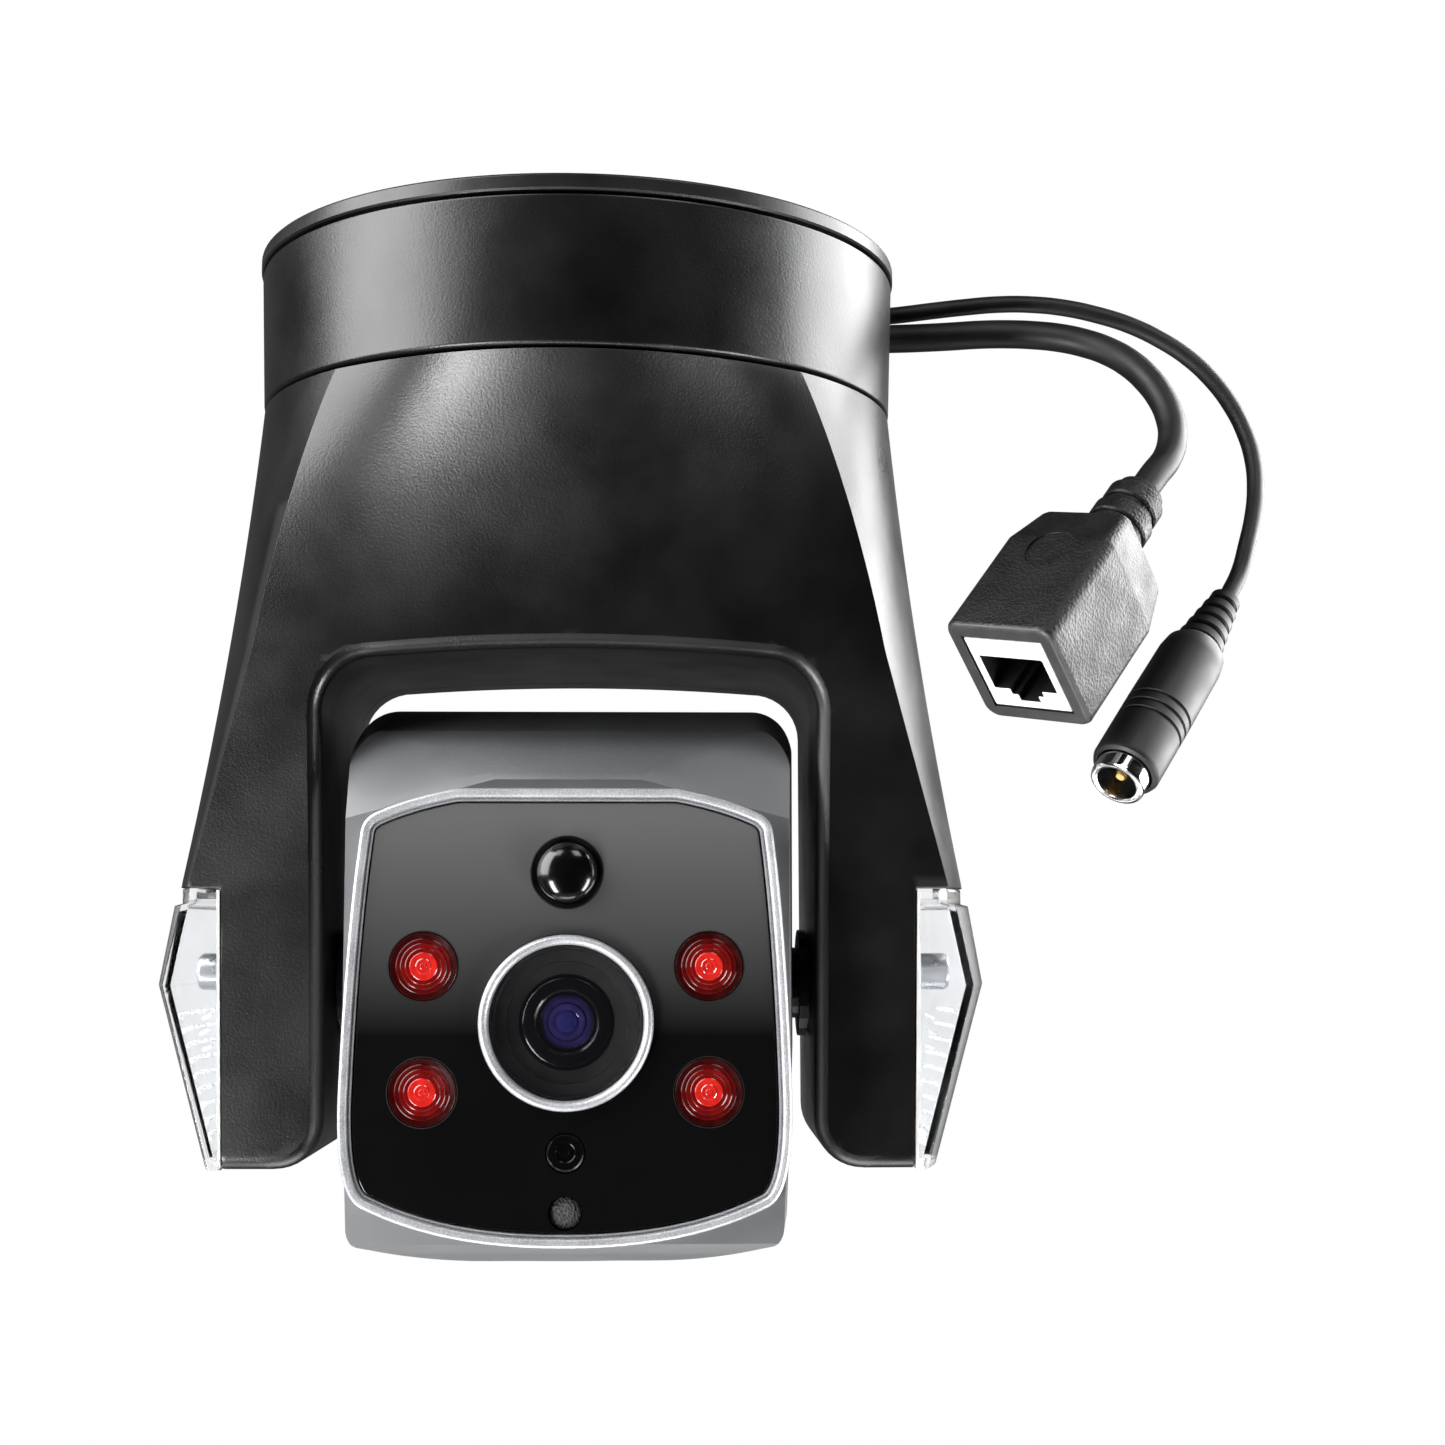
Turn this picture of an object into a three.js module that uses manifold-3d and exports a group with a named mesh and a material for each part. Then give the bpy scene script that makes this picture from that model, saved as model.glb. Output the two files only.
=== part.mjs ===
// Ceiling-mounted pan and tilt security camera.
// Millimetres, +Z up. The origin is the centre of the ceiling face. The lens looks along -Y.
import * as THREE from 'three';
import { mergeVertices } from 'three/addons/utils/BufferGeometryUtils.js';
import Module from 'manifold-3d';

const wasm = await Module();
wasm.setup();

// ---------------------------------------------------------------- driving dimensions
const GAP = 0.3; // clearance between pieces that rest on or pass through each other
const FIT = 0.3; // radial clearance of shafts in bushes and gears
const origin = [0, 0, 0];
const SIDES = { body: 48, round: 22, small: 12 }; // facets around large, middling and small rounds

const base = {
  radius: 55, // at the ceiling
  taper: 0.9, // how much narrower the housing is at the pan seam
  bottom: -26.3,
  plate: 2.6, // thickness of the ceiling plate
  skirt: 7, // how far the plate's skirt reaches into the housing
  wall: 2.6,
  floor: 3,
  screwCircle: 38, // radius of the circle of ceiling screws
  screwHole: 2.3,
};

const tiltAxis = { y: 0, z: -123.5 };

const head = {
  half: 36.5,
  radius: 46.4, // drum about the tilt axis
  edge: 6.5, // rounding of the drum's rims
  wall: 2.2,
  rim: 2.2, // width of the shell's front edge behind the bezel
  faceY: -33, // where the shell is cut flat for the bezel
  chin: tiltAxis.z - 45.6, // lowest point of the shell
  chinFront: tiltAxis.z - 39.5, // lowest point of the shell's front edge
  chinInset: 1, // how much narrower the shell is at the chin
  split: 14, // y of the joint between shell and rear cover
};

const innerHalf = head.half + 3.1; // inner face of the arms
const armHalf = innerHalf + 16.1; // outer face of the arms below the step
const stepRadius = armHalf + 10.3; // of the sides where the lamps begin

const yoke = {
  top: base.bottom - 0.5,
  topRadius: base.radius - base.taper - 0.1,
  step: tiltAxis.z + 15.9, // where the black side stops and the lamp begins
  bottom: tiltAxis.z - 29.5,
  archTop: tiltAxis.z + head.radius + 7.1,
  archCrown: 1.3,
  archRadius: 8.5,
  footRadius: 8, // rounding of the arms' inner bottom corners
  wall: 2.4,
  deck: 3,
  split: 17, // y of the joint between front shell and rear cover
};

/** Depths of the yoke's front and back from the pan axis. */
const depths = {
  front: { top: 54.3, arch: 35, step: 26.5, foot: 20.6 },
  back: { top: 54.3, arch: 28, step: 24.5, foot: 20 },
};

const face = {
  bezelFront: head.faceY - 2.8,
  bezelWidth: 1.6,
  glassFront: head.faceY - 2,
  glass: 1.6,
  boardBack: head.faceY + 5.2,
  board: 1.4,
  lensZ: tiltAxis.z - 5.4,
  pirZ: tiltAxis.z + 17.9,
  irX: (head.half + 7.9) / 2, // midway between the lens ring and the head's side
  irUpperZ: tiltAxis.z + 3.3,
  irLowerZ: tiltAxis.z - 16.1,
  sensorZ: tiltAxis.z - 25.4,
  micZ: tiltAxis.z - 34.6,
};

const lens = {
  ringOuter: 13.65,
  ringInner: 12,
  barrel: 6,
  flange: 7,
  element: 4.6,
  front: head.faceY - 0.6,
  rear: head.faceY + 15.6,
};

const lamp = {
  top: yoke.step - GAP,
  capBottom: yoke.step - 2.7,
  capRadius: stepRadius - 0.3,
  shoulderRadius: stepRadius + 0.9,
  peakZ: tiltAxis.z + 0.1,
  peakRadius: stepRadius + 3.2,
  bottomRadius: stepRadius - 4.8,
  wall: 1.8,
};

const panGears = { pitch: 1.25, wheelTeeth: 40, pinionTeeth: 12, thick: 4 };
const tiltGears = { pitch: 1, wheelTeeth: 36, pinionTeeth: 12, thick: 3.2 };

const axle = { radius: 6, bore: 3, bushOuter: 8, flange: 9 };
const hub = { radius: 11.7, bore: 8, flange: 16, top: -12 };
const panMotor = { radius: 11, height: 9, shaft: 1.5 };
const tiltMotor = { radius: 10, thick: 5.8, shaft: 1.2 };

const ethernet = {
  cord: 5, width: 20.2, height: 20.6, length: 29.5, corner: 2.4, relief: 13.8, collar: 5.6,
  insert: 14.6, insertDepth: 15, socketWidth: 11.9, socketDepth: 13,
};
const power = {
  cord: 3, body: 11.3, length: 33.5, relief: 13.2,
  barrel: 9, barrelInner: 6.4, pin: 2, socketDepth: 13,
};

// Routes of the two pigtails, from the gland to the strain reliefs.
const ethernetRoute = [
  [51.6, 4.6, -9.3], [56.2, 4.5, -9.2], [61.1, 4.1, -9.1], [66, 3.4, -9], [70.8, 2.5, -8.9],
  [75.6, 1.3, -9.1], [80.3, 0, -9.6], [84.7, -1.6, -10.5], [88.8, -3.3, -11.9], [92.4, -5.2, -13.8],
  [95.7, -7.1, -16.4], [98.3, -9.2, -19.7], [100.2, -11.4, -23.5], [101.2, -13.6, -27.6],
  [101, -15.9, -31.6], [99.5, -18.2, -35.5], [96.7, -20.5, -39], [94, -22.4, -42.5],
];
const powerRoute = [
  [51.5, 7.1, -4.7], [57.4, 7, -4.1], [63.2, 6.7, -3.4], [69, 6.3, -2.8], [74.8, 5.8, -2.4],
  [80.7, 5.3, -2.5], [86.6, 4.8, -3.2], [92.5, 4.3, -4.6], [98.3, 3.8, -6.6], [103.6, 3.2, -9.4],
  [108.3, 2.5, -12.8], [112.2, 1.5, -17], [115.2, 0.3, -21.8], [117.2, -1.3, -27.1],
  [118.1, -3.2, -32.6], [117.8, -5.4, -38.2], [116.6, -7.7, -43.6], [114.9, -9.7, -48.8],
  [113.1, -11.3, -53.8], [110.5, -13.5, -58.2],
];
const ethernetRear = [0.541, 0.4, 0.74];
const ethernetWidth = [0.716, -0.681, -0.155];
const powerRear = [0.515, 0.476, 0.713];

// ---------------------------------------------------------------- materials
const finish = (color, roughness, metalness, extra = {}) =>
  new THREE.MeshStandardMaterial({ color, roughness, metalness, ...extra });
const texturedBlack = finish(0x17181a, 0.55, 0.1);
const satinMetal = finish(0x6f7377, 0.32, 0.8);
const silver = finish(0xc9cacc, 0.3, 0.85);
const smokedGlass = finish(0x0b0c0d, 0.05, 0);
const redLens = finish(0xb01010, 0.15, 0);
const blackPlastic = finish(0x0c0c0d, 0.4, 0);
const clearPlastic = finish(0xe9eef0, 0.08, 0, { transparent: true, opacity: 0.4 });
const coatedGlass = finish(0x3c3a78, 0.05, 0.2);
const steel = finish(0x9a9ca0, 0.3, 0.95);
const whitePlastic = finish(0xeceae6, 0.45, 0);
const acetal = finish(0xdedbd0, 0.5, 0);
const board = finish(0x14592f, 0.5, 0.1);
const rubber = finish(0x1a1516, 0.6, 0);
const chrome = finish(0xe6e7ea, 0.1, 1);
const gold = finish(0xc9a24a, 0.25, 1);

// ---------------------------------------------------------------- solids
/** A closed geometry as a solid, with its seam vertices merged. */
function solid(geometry) {
  geometry.deleteAttribute('normal');
  geometry.deleteAttribute('uv');
  const merged = mergeVertices(geometry, 1e-4);
  const index = merged.index.array;
  const triangles = [];
  for (let i = 0; i < index.length; i += 3) {
    const [a, b, c] = [index[i], index[i + 1], index[i + 2]];
    if (a !== b && b !== c && c !== a) triangles.push(a, b, c);
  }
  const vertProperties = Float32Array.from(merged.attributes.position.array);
  const triVerts = Uint32Array.from(triangles);
  return new wasm.Manifold(new wasm.Mesh({ numProp: 3, vertProperties, triVerts }));
}

const cut = (body, ...tools) => tools.reduce((left, tool) => left.subtract(tool), body);
const join = (body, ...others) => others.reduce((left, other) => left.add(other), body);

function geometryOf(body) {
  const mesh = body.getMesh();
  const geometry = new THREE.BufferGeometry();
  geometry.setAttribute('position', new THREE.BufferAttribute(mesh.vertProperties, 3));
  geometry.setIndex(new THREE.BufferAttribute(mesh.triVerts, 1));
  geometry.computeVertexNormals();
  return geometry;
}

const X = new THREE.Vector3(1, 0, 0);
const Y = new THREE.Vector3(0, 1, 0);
const Z = new THREE.Vector3(0, 0, 1);
/** Turns geometry made along +Z so that it runs along +X or +Y. */
const turns = {
  x: new THREE.Matrix4().makeBasis(Y, Z, X),
  y: new THREE.Matrix4().makeBasis(Z, X, Y),
  z: new THREE.Matrix4(),
};

function box(x0, x1, y0, y1, z0, z1) {
  const geometry = new THREE.BoxGeometry(x1 - x0, y1 - y0, z1 - z0);
  return solid(geometry.translate((x0 + x1) / 2, (y0 + y1) / 2, (z0 + z1) / 2));
}

/** A round bar along an axis, from one end to the other, centred on the point at. */
function rod(axis, radius, from, to, at = origin, sides = SIDES.round) {
  const geometry = new THREE.CylinderGeometry(radius, radius, to - from, sides);
  geometry.rotateX(Math.PI / 2).translate(0, 0, (from + to) / 2);
  return solid(geometry.applyMatrix4(turns[axis]).translate(...at));
}

/** A turned piece: profile points are [radius, height], closed on the axis or on themselves. */
function turned(axis, profile, at = origin, sides = SIDES.round) {
  const points = profile.map(([r, h]) => new THREE.Vector2(r, h));
  if (THREE.ShapeUtils.area(points) < 0) points.reverse();
  const geometry = new THREE.LatheGeometry(points, sides).rotateX(Math.PI / 2);
  return solid(geometry.applyMatrix4(turns[axis]).translate(...at));
}

/** A ring with a square section. */
function ring(axis, outer, inner, from, to, at = origin, sides = SIDES.round) {
  const profile = [[inner, from], [outer, from], [outer, to], [inner, to], [inner, from]];
  return turned(axis, profile, at, sides);
}

/** A prism along Y: the outline's points are [x, z]. */
function prismY(outline, y0, y1) {
  const shape = new THREE.Shape(outline.map(([x, z]) => new THREE.Vector2(x, z)));
  const geometry = new THREE.ExtrudeGeometry(shape, { depth: y1 - y0, bevelEnabled: false });
  return solid(geometry.rotateX(Math.PI / 2).translate(0, y1, 0));
}

/** A prism along X: the outline's points are [y, z]. */
function prismX(outline, x0, x1) {
  const shape = new THREE.Shape(outline.map(([y, z]) => new THREE.Vector2(y, z)));
  const geometry = new THREE.ExtrudeGeometry(shape, { depth: x1 - x0, bevelEnabled: false });
  return solid(geometry.applyMatrix4(turns.x).translate(x0, 0, 0));
}

/** A prism along Z: the outline's points are [x, y]. */
function prismZ(outline, z0, z1) {
  const shape = new THREE.Shape(outline.map(([x, y]) => new THREE.Vector2(x, y)));
  const geometry = new THREE.ExtrudeGeometry(shape, { depth: z1 - z0, bevelEnabled: false });
  return solid(geometry.translate(0, 0, z0));
}

/** A skin over level outlines with equal numbers of points, closed top and bottom. */
function loft(levels) {
  const count = levels[0].points.length;
  const positions = levels.flatMap(({ z, points }) => points.flatMap(([x, y]) => [x, y, z]));
  const index = [];
  for (let level = 0; level + 1 < levels.length; level += 1) {
    for (let i = 0; i < count; i += 1) {
      const a = level * count + i;
      const b = level * count + ((i + 1) % count);
      index.push(a, a + count, b, b, a + count, b + count);
    }
  }
  const cap = (level, flip) => {
    const contour = levels[level].points.map(([x, y]) => new THREE.Vector2(x, y));
    for (const [a, b, c] of THREE.ShapeUtils.triangulateShape(contour, [])) {
      const start = level * count;
      index.push(start + a, start + (flip ? c : b), start + (flip ? b : c));
    }
  };
  cap(0, false);
  cap(levels.length - 1, true);
  const geometry = new THREE.BufferGeometry();
  geometry.setAttribute('position', new THREE.Float32BufferAttribute(positions, 3));
  geometry.setIndex(index);
  return solid(geometry);
}

/** Points of an arc in degrees, both ends included. */
function arc(centreX, centreY, radius, from, to, steps) {
  return Array.from({ length: steps + 1 }, (_, i) => {
    const angle = THREE.MathUtils.degToRad(from + ((to - from) * i) / steps);
    return [centreX + radius * Math.cos(angle), centreY + radius * Math.sin(angle)];
  });
}

/** Distance from a point to the nearest side of an outline. */
function clearance([x, y], outline) {
  const point = new THREE.Vector3(x, y, 0);
  const nearest = new THREE.Vector3();
  return Math.min(...outline.map(([ax, ay], i) => {
    const [bx, by] = outline[(i + 1) % outline.length];
    const side = new THREE.Line3(new THREE.Vector3(ax, ay, 0), new THREE.Vector3(bx, by, 0));
    return side.closestPointToPoint(point, true, nearest).distanceTo(point);
  }));
}

/** An anticlockwise outline moved inwards by a distance, without the folds of its tight corners. */
function inset(outline, distance) {
  const count = outline.length;
  const moved = outline.map(([x, y], i) => {
    const [ax, ay] = outline[(i + count - 1) % count];
    const [bx, by] = outline[(i + 1) % count];
    const before = new THREE.Vector2(ay - y, x - ax).normalize();
    const after = new THREE.Vector2(y - by, bx - x).normalize();
    const normal = before.clone().add(after).normalize();
    const reach = distance / Math.max(normal.dot(after), 0.5);
    return [x + normal.x * reach, y + normal.y * reach];
  });
  return moved.filter((point) => clearance(point, outline) > distance - 0.02);
}

const mirrored = (points) => points.map(([x, y]) => [-x, y]).reverse();
const polar = (radius, degrees) => {
  const angle = THREE.MathUtils.degToRad(degrees);
  return [radius * Math.cos(angle), radius * Math.sin(angle)];
};

// ---------------------------------------------------------------- scene graph
const camera = new THREE.Group();

function add(name, body, material, parent = camera) {
  const mesh = new THREE.Mesh(geometryOf(body), material);
  mesh.name = name;
  parent.add(mesh);
  return mesh;
}

// ---------------------------------------------------------------- gears
/** Outline of a spur gear with slack in the teeth, its first tooth centred on the given angle. */
function gearOutline(teeth, pitch, phase) {
  const radius = (teeth * pitch) / 2;
  const stations = [
    [radius - 1.15 * pitch, 0.33],
    [radius + 0.9 * pitch, 0.1],
  ];
  const outline = [];
  for (let tooth = 0; tooth < teeth; tooth += 1) {
    const centre = phase + (360 / teeth) * tooth;
    const step = 360 / teeth;
    stations.forEach(([reach, share]) => outline.push(polar(reach, centre - share * step)));
    [...stations].reverse().forEach(([reach, share]) => outline.push(polar(reach, centre + share * step)));
  }
  return outline;
}

// ---------------------------------------------------------------- base, fixed to the ceiling
const exit = { y: 5.6, z: -7.9, half: 7, below: 5.3 }; // the gland in the side of the housing
const footRadius = base.radius - base.taper;
const floorTop = base.bottom + base.floor;
const housingRim = -base.plate - GAP;
const sideScrew = { angles: [60, 140], z: -base.plate - base.skirt / 2 - GAP, shank: 1.3, head: 2.7 };
const ceilingHoleAngles = [90, 210, 330];
const far = 200; // reach of cutting tools past the part

/** A round bar pointing out from the centre at an angle. */
function radialRod(radius, from, to, degrees, z) {
  const bar = new THREE.CylinderGeometry(radius, radius, to - from, SIDES.small);
  bar.rotateX(Math.PI / 2).translate(0, 0, (from + to) / 2).applyMatrix4(turns.x);
  return solid(bar.rotateZ(THREE.MathUtils.degToRad(degrees)).translate(0, 0, z));
}

const sideRods = (radius, from, to) =>
  sideScrew.angles.map((angle) => radialRod(radius, from, to, angle, sideScrew.z));

function mountingPlate() {
  const profile = [[0, -base.plate], [base.radius, -base.plate], [base.radius, 0], [0, 0]];
  const disc = turned('z', profile, origin, SIDES.body);
  const skirtOuter = base.radius - base.wall - GAP;
  const skirtInner = skirtOuter - 2;
  const skirt = ring('z', skirtOuter, skirtInner, -base.plate - base.skirt, 0.5 - base.plate,
    origin, SIDES.body);
  const holes = ceilingHoleAngles.map((angle) =>
    rod('z', base.screwHole, -far, far, [...polar(base.screwCircle, angle), 0], SIDES.small));
  const notchHalf = exit.half + 2;
  const cableNotch = box(skirtInner - 4, base.radius, exit.y - notchHalf, exit.y + notchHalf, -20, housingRim);
  return cut(join(disc, skirt), cableNotch, ...holes,
    ...sideRods(sideScrew.shank + GAP, skirtInner - 2, base.radius));
}

const panWheelZ = floorTop + 3.8;
const panCentreDistance = (panGears.pitch * (panGears.wheelTeeth + panGears.pinionTeeth)) / 2;
const panMotorAt = polar(panCentreDistance, 180);
const panMotorZ = panWheelZ + panGears.thick + 1;
const postSpread = panMotor.radius + 4;
const circuit = { z: floorTop + 7.3, thick: 1.5, postX: base.radius - 17, postY: 22 };
const bushOuter = hub.radius + 3.3;

function baseHousing() {
  const inner = base.radius - base.wall;
  const hole = bushOuter + GAP;
  const cup = turned('z', [
    [hole, base.bottom], [footRadius, base.bottom], [base.radius, housingRim], [inner, housingRim],
    [inner - base.taper, floorTop], [hole, floorTop], [hole, base.bottom],
  ], origin, SIDES.body);
  const post = (x, y, top) => rod('z', 2.5, floorTop - 0.5, top - GAP, [x, y, 0], SIDES.small);
  const motorPosts = [-1, 1].map((side) => post(panMotorAt[0], side * postSpread, panMotorZ));
  const boardPosts = [-1, 1].map((side) => post(circuit.postX, side * circuit.postY, circuit.z));
  const low = exit.z - exit.below - GAP;
  const outlet = box(inner - 4, far, exit.y - exit.half - GAP, exit.y + exit.half + GAP, low, housingRim + 1);
  const headSinks = sideRods(sideScrew.head + 0.4, base.radius - 1.5, base.radius + 3);
  const screwHoles = sideRods(sideScrew.shank + GAP, inner - 3, base.radius + 3);
  return cut(join(cup, ...motorPosts, ...boardPosts), outlet, ...screwHoles, ...headSinks);
}

function sideScrewBody(angle) {
  const shank = radialRod(sideScrew.shank,
    base.radius - base.wall - 2.6, base.radius - 0.8, angle, sideScrew.z);
  const top = radialRod(sideScrew.head, base.radius - 1.2, base.radius - 0.2, angle, sideScrew.z);
  return join(shank, top);
}

function baseBoard() {
  const outer = base.radius - base.wall - 2.4;
  const outline = [...arc(0, 0, outer, -38, 38, 8), ...arc(0, 0, outer - 18.5, 38, -38, 8)];
  return prismZ(outline, circuit.z, circuit.z + circuit.thick);
}

function powerModule() {
  const low = circuit.z + circuit.thick + GAP;
  const x = circuit.postX - 5;
  return join(
    box(x, x + 7, -13, 3, low, circuit.z + 7),
    box(x + 3, x + 10, 5, 12, low, circuit.z + 5),
    box(x + 3, x + 6, 2, 6, low, circuit.z + 3),
  );
}

/** The gland closes the outlet flush with the housing, and the pigtails pass through its two bores. */
function cableGland() {
  const inner = base.radius - base.wall - 6;
  const top = housingRim - GAP;
  const block = box(inner, far, exit.y - exit.half, exit.y + exit.half, exit.z - exit.below, top);
  const lip = box(inner, inner + 2, exit.y - exit.half - 1.2, exit.y + exit.half + 1.2,
    exit.z - exit.below - 0.7, top);
  const bore = ([, y, z], diameter) => rod('x', diameter / 2 + GAP, inner - 1, far, [0, y, z], SIDES.small);
  const round = rod('z', footRadius + 0.5, -far, far, origin, SIDES.body);
  const gland = join(block, lip).intersect(round);
  return cut(gland, bore(ethernetRoute[0], ethernet.cord), bore(powerRoute[0], power.cord));
}

function panBush() {
  const inner = hub.radius + FIT;
  const flange = bushOuter + 3.4;
  return turned('z', [
    [inner, base.bottom], [bushOuter, base.bottom], [bushOuter, floorTop + GAP], [flange, floorTop + GAP],
    [flange, floorTop + 2.2], [inner, floorTop + 2.2], [inner, base.bottom],
  ]);
}

function panMotorBody() {
  const x = panMotorAt[0];
  const can = rod('z', panMotor.radius, panMotorZ, panMotorZ + panMotor.height, [x, 0, 0]);
  const ears = box(x - 3, x + 3, -postSpread - 3, postSpread + 3, panMotorZ, panMotorZ + 1);
  const shaft = rod('z', panMotor.shaft, panWheelZ - 0.6, panMotorZ + 1, [x, 0, 0], SIDES.small);
  return join(can, ears, shaft);
}

function panPinion() {
  const outline = gearOutline(panGears.pinionTeeth, panGears.pitch, 180 / panGears.pinionTeeth);
  const teeth = prismZ(outline, panWheelZ, panWheelZ + panGears.thick);
  const bore = rod('z', panMotor.shaft + FIT, -far, far, origin, SIDES.small);
  return cut(teeth, bore).translate([...panMotorAt, 0]);
}

// ---------------------------------------------------------------- pan hub and wheel
function panHub() {
  const deckBottom = yoke.top - yoke.deck - GAP;
  const flangeBottom = deckBottom - 2.5;
  return turned('z', [
    [hub.bore, flangeBottom], [hub.flange, flangeBottom], [hub.flange, deckBottom], [hub.radius, deckBottom],
    [hub.radius, hub.top], [hub.bore, hub.top], [hub.bore, flangeBottom],
  ]);
}

const hubBore = () => rod('z', hub.radius + FIT, -far, far);

function panWheel() {
  const outline = gearOutline(panGears.wheelTeeth, panGears.pitch, 0);
  return cut(prismZ(outline, panWheelZ, panWheelZ + panGears.thick), hubBore());
}

function panNut() {
  const outline = arc(0, 0, hub.radius + 4.6, 0, 315, 7);
  return cut(prismZ(outline, panWheelZ + panGears.thick + GAP, hub.top - GAP), hubBore());
}

// ---------------------------------------------------------------- yoke
/** Radius of the flaring sides at a height. */
function sideRadius(z) {
  const t = THREE.MathUtils.clamp((yoke.top - z) / (yoke.top - yoke.step), 0, 1);
  return yoke.topRadius + (stepRadius - yoke.topRadius) * (0.65 * t + 0.35 * t * t);
}

/** How far the front or back stands from the axis at a height: middle depth and its crown. */
function faceDepth(z, { top, arch, step, foot }) {
  if (z > yoke.archTop) {
    const rise = ((z - yoke.archTop) / (yoke.top + 1.2 - yoke.archTop)) ** 1.7;
    return { middle: arch + (top - arch) * rise, crown: 3.7 + 10.6 * rise };
  }
  if (z > yoke.step) {
    const t = (yoke.archTop - z) / (yoke.archTop - yoke.step);
    return { middle: arch + (step - arch) * t, crown: 3.7 - 2.2 * t };
  }
  const t = (yoke.step - z) / (yoke.step - yoke.bottom);
  return { middle: step + (foot - step) * t, crown: 1.5 - 0.5 * t };
}

/** Level outline of the flaring body, anticlockwise from above, moved in by a wall. */
function yokeOutline(z, radius, wall) {
  const r = radius - wall;
  const half = (side) => {
    const { middle, crown } = faceDepth(z, side);
    const edge = middle - crown - wall;
    const reach = Math.sqrt(r * r - edge * edge);
    const points = Array.from({ length: 9 }, (_, i) => {
      const x = -reach + (2 * reach * i) / 8;
      return [x, -Math.min(Math.sqrt(r * r - x * x), edge + crown * (1 - (x / reach) ** 2))];
    });
    return { points, angle: THREE.MathUtils.radToDeg(Math.atan2(edge, reach)) };
  };
  const front = half(depths.front);
  const back = half(depths.back);
  const rightSide = arc(0, 0, r, -front.angle, back.angle, 6).slice(1, -1);
  const leftSide = arc(0, 0, r, 180 - back.angle, 180 + front.angle, 6).slice(1, -1);
  const backPoints = back.points.map(([x, y]) => [-x, -y]);
  return [...front.points, ...rightSide, ...backPoints, ...leftSide];
}

/** Heights of the loft's levels, closer together under the base where the front curves most. */
const shares = [0.04, 0.12, 0.24, 0.38, 0.56, 0.77];
const bodyLevels = [...shares.map((t) => yoke.top + (yoke.archTop - yoke.top) * t), yoke.archTop];

function yokeLoft(top, bottom, wall) {
  const middle = (yoke.archTop + yoke.step) / 2;
  const heights = [top, ...bodyLevels.filter((z) => z < top - 1), middle, yoke.step, bottom];
  return loft(heights.map((z) => ({ z, points: yokeOutline(z, sideRadius(z), wall) })));
}

/** The opening between the arms, from below the feet up to the crowned arch, moved out by a wall. */
function archOutline(wall, low) {
  const half = innerHalf + wall;
  const r = yoke.archRadius + wall;
  const crownEdge = yoke.archTop - yoke.archCrown + wall;
  const foot = yoke.footRadius - wall;
  const right = [
    [half + foot, low], [half + foot, yoke.bottom + wall],
    ...arc(half + foot, yoke.bottom + wall + foot, foot, 270, 180, 5),
    ...arc(half - r, crownEdge - r, r, 0, 90, 6),
    [(half - r) / 2, crownEdge + 0.75 * yoke.archCrown],
  ];
  const crown = [0, crownEdge + yoke.archCrown];
  return [...right.slice(1), crown, ...mirrored(right.slice(1)), [-half - foot, low], right[0]];
}

const sideBlocks = (from, top) => [
  box(from, far, -far, far, -far, top),
  box(-far, -from, -far, far, -far, top),
];

/** A bar along X at each side, centred on a height of the arms. */
const sideBars = (radius, from, to, z) =>
  join(rod('x', radius, from, to, [0, tiltAxis.y, z]), rod('x', radius, -to, -from, [0, tiltAxis.y, z]));

const wireHole = { radius: 3, z: tiltAxis.z + 7.5 };

function yokeBody() {
  const outer = cut(yokeLoft(yoke.top, yoke.bottom, 0), ...sideBlocks(armHalf, yoke.step));
  const opening = prismY(archOutline(0, yoke.bottom - 5), -far, far);
  const hollow = cut(
    yokeLoft(yoke.top - yoke.deck, yoke.bottom + yoke.wall, yoke.wall),
    ...sideBlocks(armHalf - yoke.wall, yoke.step + yoke.wall),
    prismY(archOutline(yoke.wall, yoke.bottom - 5), -far, far),
  );
  const bores = sideBars(axle.bushOuter + GAP, innerHalf - 2, innerHalf + yoke.wall + 2, tiltAxis.z);
  const wireHoles = sideBars(wireHole.radius, armHalf - yoke.wall - 1, armHalf + 1, wireHole.z);
  return cut(outer, opening, hollow, hubBore(), bores, wireHoles);
}

const eitherSide = (side, body) => (side > 0 ? body : body.mirror([1, 0, 0]));

function bush(side) {
  const inner = axle.radius + FIT;
  const start = innerHalf - 1.6;
  const seat = innerHalf - GAP;
  const end = innerHalf + yoke.wall + 0.4;
  const profile = [
    [inner, start], [axle.flange, start], [axle.flange, seat], [axle.bushOuter, seat],
    [axle.bushOuter, end], [inner, end], [inner, start],
  ];
  return eitherSide(side, turned('x', profile, [0, tiltAxis.y, tiltAxis.z]));
}

const tiltWheelX = -innerHalf - yoke.wall - 1 - tiltGears.thick;
const tiltCentreDistance = (tiltGears.pitch * (tiltGears.wheelTeeth + tiltGears.pinionTeeth)) / 2;
const tiltMotorAt = [0, tiltAxis.y, tiltAxis.z + tiltCentreDistance];

function tiltMotorBody() {
  const front = tiltWheelX - 0.7;
  const can = rod('x', tiltMotor.radius, front - tiltMotor.thick, front, tiltMotorAt);
  const shaft = rod('x', tiltMotor.shaft, front - 1, tiltWheelX + tiltGears.thick, tiltMotorAt, SIDES.small);
  return join(can, shaft);
}

/** A gear of the tilt drive about an axis along X. */
function tiltGear(teeth, phase, bore, z) {
  const outline = gearOutline(teeth, tiltGears.pitch, phase);
  const wheel = cut(prismX(outline, 0, tiltGears.thick), rod('x', bore, -far, far));
  return wheel.translate([tiltWheelX, tiltAxis.y, z]);
}

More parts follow.
